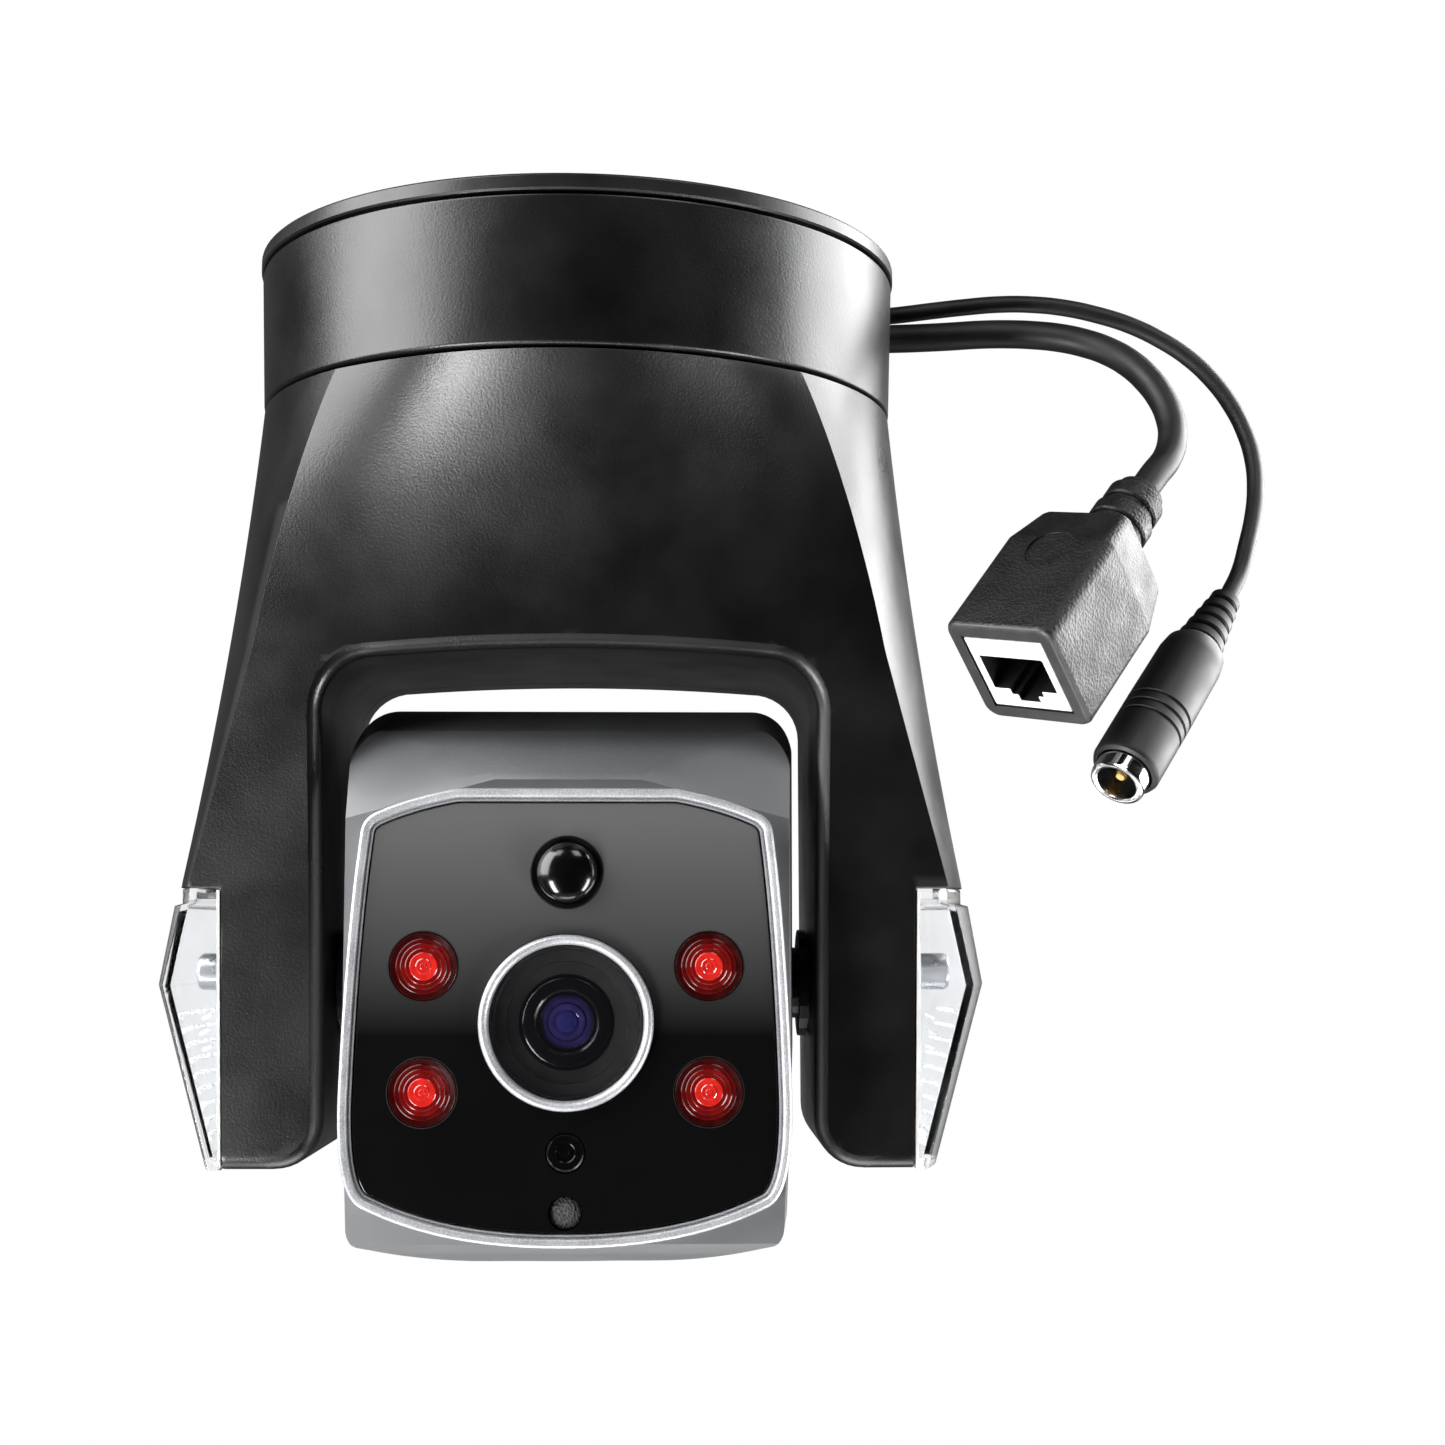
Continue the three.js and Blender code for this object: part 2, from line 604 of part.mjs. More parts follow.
// ---------------------------------------------------------------- side lamps
function lampRadius(z) {
  if (z > lamp.capBottom) return lamp.capRadius;
  const { lerp } = THREE.MathUtils;
  if (z > lamp.peakZ) {
    return lerp(lamp.shoulderRadius, lamp.peakRadius, (lamp.capBottom - z) / (lamp.capBottom - lamp.peakZ));
  }
  return lerp(lamp.peakRadius, lamp.bottomRadius, (lamp.peakZ - z) / (lamp.peakZ - yoke.bottom));
}

function lampLoft(top, bottom, wall) {
  const heights = [top, lamp.capBottom + 0.05, lamp.capBottom - 0.2, lamp.peakZ, bottom];
  return loft(heights.map((z) => ({ z, points: yokeOutline(z, lampRadius(z), wall) })));
}

function lampCover(side) {
  const inner = armHalf + GAP;
  const outer = lampLoft(lamp.top, yoke.bottom, 0).intersect(box(inner, far, -far, far, -far, 0));
  const hollow = lampLoft(lamp.top - lamp.wall, yoke.bottom + lamp.wall, lamp.wall);
  return eitherSide(side, cut(outer, hollow.intersect(box(inner - 1, far, -far, far, -far, 0))));
}

const lampBoardPlace = {
  x: armHalf + 0.7, thick: 1.2, half: 15, top: yoke.step - 4.9, bottom: yoke.bottom + 7,
};

function lampBoard(side) {
  const { x, thick, half, top, bottom } = lampBoardPlace;
  return eitherSide(side, box(x, x + thick, -half, half, bottom, top));
}

function lampReflector(side) {
  const x = lampBoardPlace.x + lampBoardPlace.thick + GAP;
  const profile = [[0, x], [2.6, x], [3.4, x + 6.4], [2.9, x + 6.4], [1.6, x + 2], [0, x + 2]];
  return eitherSide(side, turned('x', profile, [0, 0, lamp.peakZ + 1.9]));
}

// ---------------------------------------------------------------- head
/** The bezel's outline as seen from the front, heights from the tilt axis. */
function faceOutline() {
  const half = new THREE.Path();
  half.moveTo(0, 31.1);
  half.lineTo(17.3, 31.1);
  half.quadraticCurveTo(25.2, 29.6, 30.2, 27.2);
  half.quadraticCurveTo(32.1, 26.1, 32.3, 24.1);
  half.quadraticCurveTo(34.4, 8.5, 35.2, -17);
  half.quadraticCurveTo(35.5, -31.5, 31.6, -33.6);
  half.quadraticCurveTo(19, -40, 0, -39.9);
  const points = half.getPoints(4).map(({ x, y }) => [x * (head.half / 36.5), y + tiltAxis.z]);
  const right = points.slice(1, -1);
  const clockwise = [points[0], ...right, points[points.length - 1], ...mirrored(right)];
  return clockwise.reverse();
}

const outline = faceOutline();
const bezelTop = Math.max(...outline.map(([, z]) => z));

/** Front view outline of the head's shell, moved in by a wall. */
function shellOutline(wall) {
  const half = head.half - wall;
  const foot = half - head.chinInset;
  const low = head.chin + wall;
  const corner = 3.5;
  const bottomRadius = 105;
  const rise = (x) => bottomRadius - Math.sqrt(bottomRadius * bottomRadius - x * x);
  const belly = [0, 0.3, 0.6, 0.85, 1].map((t) => [t * (foot - corner), low + rise(t * (foot - corner))]);
  const cornerZ = low + rise(foot - corner) + corner;
  const sides = [...arc(foot - corner, cornerZ, corner, -60, 0, 4), [half, tiltAxis.z - 10], [half, 0]];
  const right = [...belly.slice(1), ...sides];
  return [belly[0], ...right, ...mirrored(right)];
}

function drum(wall) {
  const half = head.half - wall;
  const r = head.radius - wall;
  const edge = head.edge - wall;
  const rim = arc(half - edge, r - edge, edge, 90, 0, 3).map(([x, radius]) => [radius, x]);
  const otherRim = rim.map(([radius, x]) => [radius, -x]).reverse();
  const profile = [[0, -half], ...otherRim, ...rim, [0, half]];
  return turned('x', profile, [0, tiltAxis.y, tiltAxis.z], SIDES.body);
}

/** The chin joins the drum's belly to the front edge under the bezel. */
function chin(wall) {
  const low = head.chin + wall;
  const front = head.faceY + wall;
  const top = tiltAxis.z - 6;
  const profile = [
    [front, head.chinFront + wall], [front + 11, low + 2.2], [front + 22, low + 0.3],
    [0, low], [0, top], [front, top],
  ];
  const foot = head.half - head.chinInset - wall;
  return prismX(profile, -foot, foot);
}

function headSolid(wall) {
  const block = join(drum(wall), chin(wall)).intersect(prismY(shellOutline(wall), -far, far));
  return cut(block, box(-far, far, -far, head.faceY + wall, -far, 0));
}

/** Facet that carries the drum down to the bezel's sloping top corner. */
function cornerFacet(side) {
  const normal = new THREE.Vector3(side * 0.17, -0.745, 0.643).normalize();
  const facet = new THREE.BoxGeometry(60, 60, 20).translate(0, 0, 10);
  facet.applyQuaternion(new THREE.Quaternion().setFromUnitVectors(Z, normal));
  return solid(facet.translate(side * 17.3, head.faceY, bezelTop));
}

function headBody() {
  const facets = [cornerFacet(-1), cornerFacet(1)];
  const outer = cut(headSolid(0), ...facets);
  const inner = cut(headSolid(head.wall),
    ...facets.map((facet) => facet.translate([0, head.wall, -head.wall])));
  const opening = prismY(inset(outline, head.rim), -far, head.faceY + head.wall + 6);
  const bores = rod('x', axle.radius + GAP, -far, far, [0, tiltAxis.y, tiltAxis.z]);
  return cut(outer, inner, opening, bores);
}

function bezel() {
  const outer = prismY(outline, face.bezelFront, head.faceY - GAP);
  return cut(outer, prismY(inset(outline, face.bezelWidth), -far, 0));
}

const glassBack = face.glassFront + face.glass;
const irPlaces = [
  [-face.irX, face.irUpperZ], [face.irX, face.irUpperZ], [-face.irX, face.irLowerZ], [face.irX, face.irLowerZ],
];
const radii = { ir: 5.4, pir: 4.85, pirHole: 5.7, sensor: 3, mic: 2.5 };

const faceHole = (radius, x, z, sides = SIDES.round) => rod('y', radius, -far, 0, [x, 0, z], sides);

function faceplate() {
  const plate = prismY(inset(outline, face.bezelWidth + GAP), face.glassFront, glassBack);
  const holes = [
    faceHole(lens.ringOuter + GAP, 0, face.lensZ),
    faceHole(radii.pirHole, 0, face.pirZ),
    ...irPlaces.map(([x, z]) => faceHole(radii.ir + GAP, x, z)),
    faceHole(radii.sensor + GAP, 0, face.sensorZ, SIDES.small),
    faceHole(radii.mic + GAP, 0, face.micZ, SIDES.small),
  ];
  return cut(plate, ...holes);
}

const boardFront = face.boardBack - face.board;

function ledBoard() {
  const plate = prismY(inset(outline, 7), boardFront, face.boardBack);
  return cut(plate, faceHole(lens.flange + 3, 0, face.lensZ));
}

function lensRing() {
  const back = head.faceY + 0.4;
  const front = face.bezelFront - 0.8;
  return turned('y', [
    [lens.ringInner, front + 0.6], [lens.ringInner + 0.5, front], [lens.ringOuter - 0.5, front],
    [lens.ringOuter, front + 0.5], [lens.ringOuter, back],
    [lens.ringInner, back], [lens.ringInner, front + 0.6],
  ], [0, 0, face.lensZ]);
}

function lensWindow() {
  const front = face.glassFront - 0.6;
  return rod('y', lens.ringInner - GAP, front, front + 0.8, [0, 0, face.lensZ]);
}

function lensBarrel() {
  const mouth = lens.element + 0.4;
  return turned('y', [
    [mouth, lens.front], [lens.flange, lens.front], [lens.flange, lens.front + 3],
    [lens.barrel, lens.front + 3],
    [lens.barrel, lens.rear], [2.6, lens.rear], [2.6, lens.front + 5],
    [mouth, lens.front + 5], [mouth, lens.front],
  ], [0, 0, face.lensZ]);
}

function lensElement() {
  const front = lens.front + 0.5;
  const r = lens.element;
  return turned('y', [
    [0, front + 4], [r, front + 4], [r, front + 1.7],
    [0.76 * r, front + 0.8], [0.41 * r, front + 0.2], [0, front],
  ], [0, 0, face.lensZ]);
}

const filterY = lens.rear + 1.4;
const imageBoardY = filterY + 2.7;

function lensHolder() {
  const z = face.lensZ;
  const block = box(-10, 10, lens.front + 7.2, imageBoardY - GAP, z - 9, z + 9);
  const bore = rod('y', lens.barrel + GAP, lens.front, far, [0, 0, z]);
  const slot = box(-11, 11, filterY - 0.8, filterY + 0.8, z - 5, z + 5);
  return cut(block, bore, slot);
}

/** The filter slides aside along X in the holder's slot at night. */
function cutFilter() {
  const z = face.lensZ;
  return box(-9.4, 3.4, filterY - 0.4, filterY + 0.4, z - 4.6, z + 4.6);
}

function imageBoard() {
  const z = face.lensZ;
  return box(-17, 17, imageBoardY, imageBoardY + 1.4, z - 13, z + 13);
}

function imageSensor() {
  const z = face.lensZ;
  return box(-4, 4, imageBoardY - 1.5, imageBoardY - GAP, z - 3, z + 3);
}

function irLens([x, z]) {
  const front = face.glassFront - 0.1;
  return turned('y', [
    [0, boardFront - GAP], [3.4, boardFront - GAP], [radii.ir, glassBack], [radii.ir, front + 0.3],
    [radii.ir - 0.4, front], [0, front],
  ], [x, 0, z]);
}

function pirLens() {
  const rim = glassBack + GAP;
  const flange = radii.pirHole + 0.9;
  const dome = arc(0, 0, radii.pir, 0, 90, 5).map(([r, h]) => [r, face.glassFront - 0.1 - h * 0.62]);
  return turned('y', [[0, rim + 1], [flange, rim + 1], [flange, rim], [radii.pir, rim], ...dome],
    [0, 0, face.pirZ]);
}

function pirSensor() {
  return rod('y', 4, glassBack + GAP + 1.3, boardFront - GAP, [0, 0, face.pirZ], SIDES.small);
}

function lightSensor() {
  const from = face.glassFront + 0.3;
  return rod('y', radii.sensor, from, boardFront - GAP, [0, 0, face.sensorZ], SIDES.small);
}

function microphone() {
  return rod('y', radii.mic, face.glassFront + 0.5, glassBack + 1.3, [0, 0, face.micZ], SIDES.small);
}

function mainBoard() {
  const half = head.half - head.wall - 7.3;
  return box(-half, half, 6, 7.6, tiltAxis.z - 30, tiltAxis.z + 32);
}

function headAxle(side, end) {
  const inner = head.half - head.wall;
  const start = inner - 3;
  const seat = inner - GAP;
  const profile = [
    [axle.bore, start], [axle.flange, start], [axle.flange, seat], [axle.radius, seat],
    [axle.radius, end], [axle.bore, end], [axle.bore, start],
  ];
  return eitherSide(side, turned('x', profile, [0, tiltAxis.y, tiltAxis.z]));
}

// ---------------------------------------------------------------- pigtails and connectors
/** A tube of round section along a route. */
function cord(route, diameter, sides, steps) {
  const section = new THREE.Shape(arc(0, 0, diameter / 2, 0, 360 - 360 / sides, sides - 1)
    .map(([x, y]) => new THREE.Vector2(x, y)));
  const path = new THREE.CatmullRomCurve3(route.map((point) => new THREE.Vector3(...point)));
  return solid(new THREE.ExtrudeGeometry(section, { steps, extrudePath: path, bevelEnabled: false }));
}

/** A group whose +Y runs rearwards along a connector, from the centre of its front face. */
function connectorGroup(route, rear, widthHint, length) {
  const back = new THREE.Vector3(...rear).normalize();
  const width = new THREE.Vector3(...widthHint);
  width.addScaledVector(back, -width.dot(back)).normalize();
  const group = new THREE.Group();
  group.setRotationFromMatrix(new THREE.Matrix4().makeBasis(width, back, width.clone().cross(back)));
  group.position.set(...route[route.length - 1]).addScaledVector(back, -length - GAP);
  camera.add(group);
  return group;
}

/** Outline of a network socket, wide above and stepped below for the plug's latch. */
function socketOutline(half) {
  return [
    [-half, 3.5], [-half, -3.5], [-3, -3.5], [-3, -4.6], [-1.9, -4.6], [-1.9, -5.9],
    [1.9, -5.9], [1.9, -4.6], [3, -4.6], [3, -3.5], [half, -3.5], [half, 3.5],
  ];
}

/** Ribs of a strain relief that narrows towards the cord: profile points from front to rear. */
function reliefRibs(count, start, length, radius, narrowing) {
  const step = length / count;
  return Array.from({ length: count }, (_, i) => {
    const low = start + i * step;
    const r = radius - i * narrowing;
    return [[r, low], [r, low + step * 0.62], [r - 0.9, low + step * 0.64], [r - 0.9, low + step]];
  }).flat();
}

function addEthernetConnector() {
  const { width, height, length, corner, insert, insertDepth, socketDepth, relief } = ethernet;
  const group = connectorGroup(ethernetRoute, ethernetRear, ethernetWidth, length + GAP + relief);
  const w = width / 2 - corner;
  const h = height / 2 - corner;
  const body = [
    ...arc(w, -h, corner, -90, 0, 3), ...arc(w, h, corner, 0, 90, 3),
    ...arc(-w, h, corner, 90, 180, 3), ...arc(-w, -h, corner, 180, 270, 3),
  ];
  const half = insert / 2;
  const cavity = half + GAP;
  const shell = cut(prismY(body, 0, length), box(-cavity, cavity, -1, insertDepth + GAP, -cavity, cavity));
  add('rj45_housing', shell, rubber, group);
  const socket = prismY(socketOutline(ethernet.socketWidth / 2), -1, socketDepth);
  add('rj45_insert', cut(box(-half, half, 0.1, insertDepth, -half, half), socket), whitePlastic, group);
  const back = socketDepth - GAP;
  const wires = Array.from({ length: 8 }, (_, i) => {
    const x = (i - 3.5) * 1.02;
    return box(x - 0.22, x + 0.22, back - 7.7, back - 0.5, 2, 2.6);
  });
  add('rj45_contacts', join(box(-4.5, 4.5, back - 1, back, 1.6, 3), ...wires), gold, group);
  const start = length + GAP;
  const ribs = reliefRibs(3, start, relief, ethernet.collar, 0.35);
  add('rj45_strain_relief', turned('y', [[0, start], ...ribs, [0, start + relief]]), rubber, group);
}

function addPowerConnector() {
  const { body, length, relief, barrel, barrelInner, pin, socketDepth } = power;
  const group = connectorGroup(powerRoute, powerRear, [1, 0, 0], length + relief);
  const r = body / 2;
  const bore = barrel / 2 + GAP;
  const mouth = 3; // where the moulded body begins behind the barrel's rim
  const grooves = [12, 14, 16].flatMap((y) => [[r, y], [r - 0.3, y + 0.4], [r, y + 0.8]]);
  const ribs = reliefRibs(4, length, relief, 4, 0.4);
  const profile = [
    [bore, mouth], [r - 0.8, mouth], [r, mouth + 0.8], ...grooves, [r - 0.2, length - 3], [r - 1.4, length],
    ...ribs, [0, length + relief], [0, socketDepth + 2], [bore, socketDepth + 2], [bore, mouth],
  ];
  add('dc_jack_body', turned('y', profile), rubber, group);
  const inner = barrelInner / 2;
  const tube = turned('y', [
    [inner, 0.5], [inner + 0.4, 0], [barrel / 2, 0], [barrel / 2, socketDepth + 1.5], [0, socketDepth + 1.5],
    [0, socketDepth + GAP], [inner, socketDepth + GAP], [inner, 0.5],
  ]);
  add('dc_jack_barrel', tube, chrome, group);
  const pinProfile = [[0, 1.6], [pin / 2 - 0.3, 1.6], [pin / 2, 2.2], [pin / 2, socketDepth], [0, socketDepth]];
  add('dc_jack_pin', turned('y', pinProfile, origin, SIDES.small), gold, group);
}

// ---------------------------------------------------------------- assembly
function addBase() {
  add('mounting_plate', mountingPlate(), texturedBlack);
  add('base_housing', baseHousing(), texturedBlack);
  sideScrew.angles.forEach((angle, i) => add(`side_screw_${i + 1}`, sideScrewBody(angle), steel));
  add('pan_bush', panBush(), acetal);
  add('pan_motor', panMotorBody(), steel);
  add('pan_pinion', panPinion(), acetal);
  add('base_board', baseBoard(), board);
  add('power_module', powerModule(), blackPlastic);
  add('cable_gland', cableGland(), rubber);
  add('ethernet_cord', cord(ethernetRoute, ethernet.cord, 8, 24), rubber);
  add('power_cord', cord(powerRoute, power.cord, 8, 40), rubber);
  addEthernetConnector();
  addPowerConnector();
}

/** Everything behind or in front of a split, half the gap away from it. */
const behind = (y) => box(-far, far, y - GAP / 2, far, -far, far);
const beforeOf = (y) => box(-far, far, -far, y + GAP / 2, -far, far);

function addYoke() {
  const body = yokeBody();
  add('yoke_front_shell', cut(body, behind(yoke.split)), texturedBlack);
  add('yoke_rear_cover', cut(body, beforeOf(yoke.split)), texturedBlack);
  add('pan_hub', panHub(), steel);
  add('pan_gear', panWheel(), acetal);
  add('pan_nut', panNut(), steel);
  add('tilt_motor', tiltMotorBody(), steel);
  const meshed = 90 + 180 / tiltGears.pinionTeeth;
  const pinionBore = tiltMotor.shaft + FIT;
  add('tilt_pinion', tiltGear(tiltGears.pinionTeeth, meshed, pinionBore, tiltMotorAt[2]), acetal);
  [['left', -1], ['right', 1]].forEach(([name, side]) => {
    add(`${name}_axle_bush`, bush(side), acetal);
    add(`${name}_lamp_cover`, lampCover(side), clearPlastic);
    add(`${name}_lamp_board`, lampBoard(side), board);
    add(`${name}_lamp_reflector`, lampReflector(side), silver);
  });
}

function addHead() {
  const body = headBody();
  add('head_shell', cut(body, behind(head.split)), satinMetal);
  add('head_rear_cover', cut(body, beforeOf(head.split)), satinMetal);
  add('bezel', bezel(), silver);
  add('faceplate', faceplate(), smokedGlass);
  add('led_board', ledBoard(), board);
  irPlaces.forEach((place, i) => add(`ir_lens_${i + 1}`, irLens(place), redLens));
  add('pir_lens', pirLens(), blackPlastic);
  add('pir_sensor', pirSensor(), steel);
  add('light_sensor', lightSensor(), blackPlastic);
  add('microphone', microphone(), blackPlastic);
  add('lens_ring', lensRing(), silver);
  add('lens_window', lensWindow(), smokedGlass);
  add('lens_barrel', lensBarrel(), blackPlastic);
  add('lens_element', lensElement(), coatedGlass);
  add('lens_holder', lensHolder(), blackPlastic);
  add('cut_filter', cutFilter(), coatedGlass);
  add('image_board', imageBoard(), board);
  add('image_sensor', imageSensor(), blackPlastic);
  add('main_board', mainBoard(), board);
  add('left_axle', headAxle(-1, -tiltWheelX + 0.8), steel);
  add('right_axle', headAxle(1, innerHalf + yoke.wall + 2), steel);
  add('tilt_gear', tiltGear(tiltGears.wheelTeeth, 90, axle.radius + FIT, tiltAxis.z), acetal);
}

addBase();
addYoke();
addHead();

export default camera;
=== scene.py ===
"""Looks of a ceiling-mounted pan and tilt security camera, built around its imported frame."""
import logging
import math
from collections.abc import Callable, Iterable, Sequence
from dataclasses import dataclass
from enum import Enum

import bpy
from mathutils import Matrix, Vector


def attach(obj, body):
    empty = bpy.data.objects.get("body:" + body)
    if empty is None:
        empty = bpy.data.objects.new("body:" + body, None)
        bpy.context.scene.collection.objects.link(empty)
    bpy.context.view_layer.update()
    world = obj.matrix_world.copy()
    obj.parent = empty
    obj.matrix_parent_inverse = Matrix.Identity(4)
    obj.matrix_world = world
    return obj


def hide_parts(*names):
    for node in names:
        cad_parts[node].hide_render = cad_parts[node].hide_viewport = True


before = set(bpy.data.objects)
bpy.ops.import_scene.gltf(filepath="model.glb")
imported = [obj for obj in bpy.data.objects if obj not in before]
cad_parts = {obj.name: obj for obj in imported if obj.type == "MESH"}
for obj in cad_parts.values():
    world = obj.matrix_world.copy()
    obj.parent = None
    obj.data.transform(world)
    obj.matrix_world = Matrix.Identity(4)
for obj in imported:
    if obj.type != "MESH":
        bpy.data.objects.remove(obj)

LOG = logging.getLogger("security_camera")
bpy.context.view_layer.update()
MM = 0.001
FAR = 200.0  # reach of cutting tools past the part, in millimetres
TILT_AXIS = -123.5  # height of the axis on which the head tilts, in millimetres
CORD_GAP = 0.3  # between the network socket and its strain relief, in millimetres

Flat = tuple[float, float]
Point = tuple[float, float, float]
Ring = list[Point]
Mesh = bpy.types.Object

# Routes of the two pigtails in millimetres, from inside the gland to the strain reliefs.
ETHERNET_ROUTE: list[Point] = [
    (51.6, 4.6, -9.3), (56.2, 4.5, -9.2), (61.1, 4.1, -9.1), (66, 3.4, -9), (70.8, 2.5, -8.9),
    (75.6, 1.3, -9.1), (80.3, 0, -9.6), (84.7, -1.6, -10.5), (88.8, -3.3, -11.9), (92.4, -5.2, -13.8),
    (95.7, -7.1, -16.4), (98.3, -9.2, -19.7), (100.2, -11.4, -23.5), (101.2, -13.6, -27.6),
    (101, -15.9, -31.6), (99.5, -18.2, -35.5), (96.7, -20.5, -39), (94, -22.4, -42.5),
]
POWER_ROUTE: list[Point] = [
    (51.5, 7.1, -4.7), (57.4, 7, -4.1), (63.2, 6.7, -3.4), (69, 6.3, -2.8), (74.8, 5.8, -2.4),
    (80.7, 5.3, -2.5), (86.6, 4.8, -3.2), (92.5, 4.3, -4.6), (98.3, 3.8, -6.6), (103.6, 3.2, -9.4),
    (108.3, 2.5, -12.8), (112.2, 1.5, -17), (115.2, 0.3, -21.8), (117.2, -1.3, -27.1),
    (118.1, -3.2, -32.6), (117.8, -5.4, -38.2), (116.6, -7.7, -43.6), (114.9, -9.7, -48.8),
    (113.1, -11.3, -53.8), (110.5, -13.5, -58.2),
]


# ---------------------------------------------------------------- finishes
class Grain(Enum):
    """Pattern of a finish's fine surface."""

    SPARK = "spark"
    CELLS = "cells"


@dataclass(frozen=True)
class Finish:
    """One surface finish: a colour with its variation, gloss and fine surface, on Object coordinates."""

    name: str
    slot: str
    colour: tuple[float, float, float]
    roughness: float = 0.5
    metallic: float = 0.0
    uneven: float = 0.06
    tint: float = 0.12
    tint_size: float = 9.0
    grain: Grain = Grain.SPARK
    grain_size: float = 0.3
    grain_depth: float = 0.01
    grain_tint: float = 0.0
    wear: float = 0.0
    coat: float = 0.0
    specular: float = 0.5
    clear: float = 0.0
    ior: float = 1.49
    # Strength of a painted glow: emission on a surface that gives no light of its own.
    painted_glow: float = 0.0
    solid: float = 1.0
    # Painted reflection: (low z, high z, shade) in millimetres, a lighter colour painted towards the top.
    painted_reflection: tuple[float, float, float] | None = None

    def material(self) -> bpy.types.Material:
        """The node material of this finish, made on first use."""
        found = bpy.data.materials.get(f"{self.name}_finish")
        return found if found else self._make()

    def _make(self) -> bpy.types.Material:
        """Builds the nodes: broad tint and gloss changes, fine grain, wear along edges, and where asked a
        painted reflection that lightens the colour upwards and a painted glow.
        """
        material = bpy.data.materials.new(f"{self.name}_finish")
        material.use_nodes = True
        nodes, links = material.node_tree.nodes, material.node_tree.links
        shader = nodes["Principled BSDF"]
        place = nodes.new("ShaderNodeTexCoord").outputs["Object"]
        broad = nodes.new("ShaderNodeTexNoise")
        broad.inputs["Scale"].default_value = 1 / (self.tint_size * MM)
        broad.inputs["Detail"].default_value = 4
        links.new(place, broad.inputs["Vector"])
        fine = self._fine(nodes)
        links.new(place, fine.inputs["Vector"])
        height = fine.outputs["Distance" if self.grain is Grain.CELLS else "Fac"]
        dark = [channel * (1 - self.tint) for channel in self.colour]
        light = [min(1.0, channel * (1 + self.tint)) for channel in self.colour]
        colour = self._mix(nodes, links, broad.outputs["Fac"], dark, light, 0.35, 0.65)
        if self.grain_tint:
            speck = [min(1.0, channel * (1 + self.grain_tint)) for channel in light]
            colour = self._mix(nodes, links, height, colour, speck, 0.45, 0.7)
        if self.wear:
            edge = nodes.new("ShaderNodeNewGeometry").outputs["Pointiness"]
            worn = [min(1.0, channel * (1 + self.wear) + 0.02 * self.wear) for channel in light]
            colour = self._mix(nodes, links, edge, colour, worn, 0.53, 0.62)
        # Painted reflection: the colour lightens along Object Z from low to high, standing in for a brighter
        # reflection at the top.
        if self.painted_reflection:
            low, high, shade = self.painted_reflection
            axes = nodes.new("ShaderNodeSeparateXYZ")
            links.new(place, axes.inputs[0])
            colour = self._mix(nodes, links, axes.outputs["Z"], colour, (shade,) * 3, low * MM, high * MM)
        links.new(colour, shader.inputs["Base Color"])
        gloss = nodes.new("ShaderNodeMapRange")
        gloss.inputs["From Min"].default_value = 0.3
        gloss.inputs["From Max"].default_value = 0.7
        gloss.inputs["To Min"].default_value = max(0.02, self.roughness - self.uneven)
        gloss.inputs["To Max"].default_value = min(1.0, self.roughness + self.uneven)
        links.new(broad.outputs["Fac"], gloss.inputs["Value"])
        links.new(gloss.outputs["Result"], shader.inputs["Roughness"])
        if self.grain_depth:
            bump = nodes.new("ShaderNodeBump")
            bump.inputs["Strength"].default_value = 1.0
            bump.inputs["Distance"].default_value = self.grain_depth * MM
            links.new(height, bump.inputs["Height"])
            links.new(bump.outputs["Normal"], shader.inputs["Normal"])
        shader.inputs["Metallic"].default_value = self.metallic
        shader.inputs["IOR"].default_value = self.ior
        shader.inputs["Specular IOR Level"].default_value = self.specular
        shader.inputs["Coat Weight"].default_value = self.coat
        shader.inputs["Coat Roughness"].default_value = 0.06
        shader.inputs["Transmission Weight"].default_value = self.clear
        shader.inputs["Alpha"].default_value = self.solid
        # Painted glow: the surface emits its own colour, which brightens it.
        if self.painted_glow:
            shader.inputs["Emission Color"].default_value = (*self.colour, 1)
            shader.inputs["Emission Strength"].default_value = self.painted_glow
        return material

    def _fine(self, nodes: bpy.types.Nodes) -> bpy.types.Node:
        """The texture node of the fine grain.

        Args:
            nodes: Nodes of the material.

        Returns:
            The result.
        """
        if self.grain is Grain.CELLS:
            cells = nodes.new("ShaderNodeTexVoronoi")
            cells.inputs["Scale"].default_value = 1 / (self.grain_size * MM)
            return cells
        spark = nodes.new("ShaderNodeTexNoise")
        spark.inputs["Scale"].default_value = 1 / (self.grain_size * MM)
        spark.inputs["Detail"].default_value = 3
        spark.inputs["Roughness"].default_value = 0.6
        return spark

    @staticmethod
    def _mix(nodes: bpy.types.Nodes, links: bpy.types.NodeLinks, factor: bpy.types.NodeSocket,
             first: Sequence[float] | bpy.types.NodeSocket, second: Sequence[float],
             low: float, high: float) -> bpy.types.NodeSocket:
        """Mixes two colours, or a socket and a colour, by a stretched factor.

        Args:
            nodes: Nodes of the material.
            links: Links of the material.
            factor: What decides between the two.
            first: Colour, or socket of one, where the factor is at or under low.
            second: Colour where the factor is at or over high.
            low: Factor at which the second colour begins.
            high: Factor at which only the second colour is left.

        Returns:
            The socket of the mixed colour.
        """
        spread = nodes.new("ShaderNodeMapRange")
        spread.inputs["From Min"].default_value = low
        spread.inputs["From Max"].default_value = high
        links.new(factor, spread.inputs["Value"])
        mix = nodes.new("ShaderNodeMix")
        mix.data_type = "RGBA"
        links.new(spread.outputs["Result"], mix.inputs["Factor"])
        if isinstance(first, bpy.types.NodeSocket):
            links.new(first, mix.inputs[6])
        else:
            mix.inputs[6].default_value = (*first, 1)
        mix.inputs[7].default_value = (*second, 1)
        return mix.outputs[2]


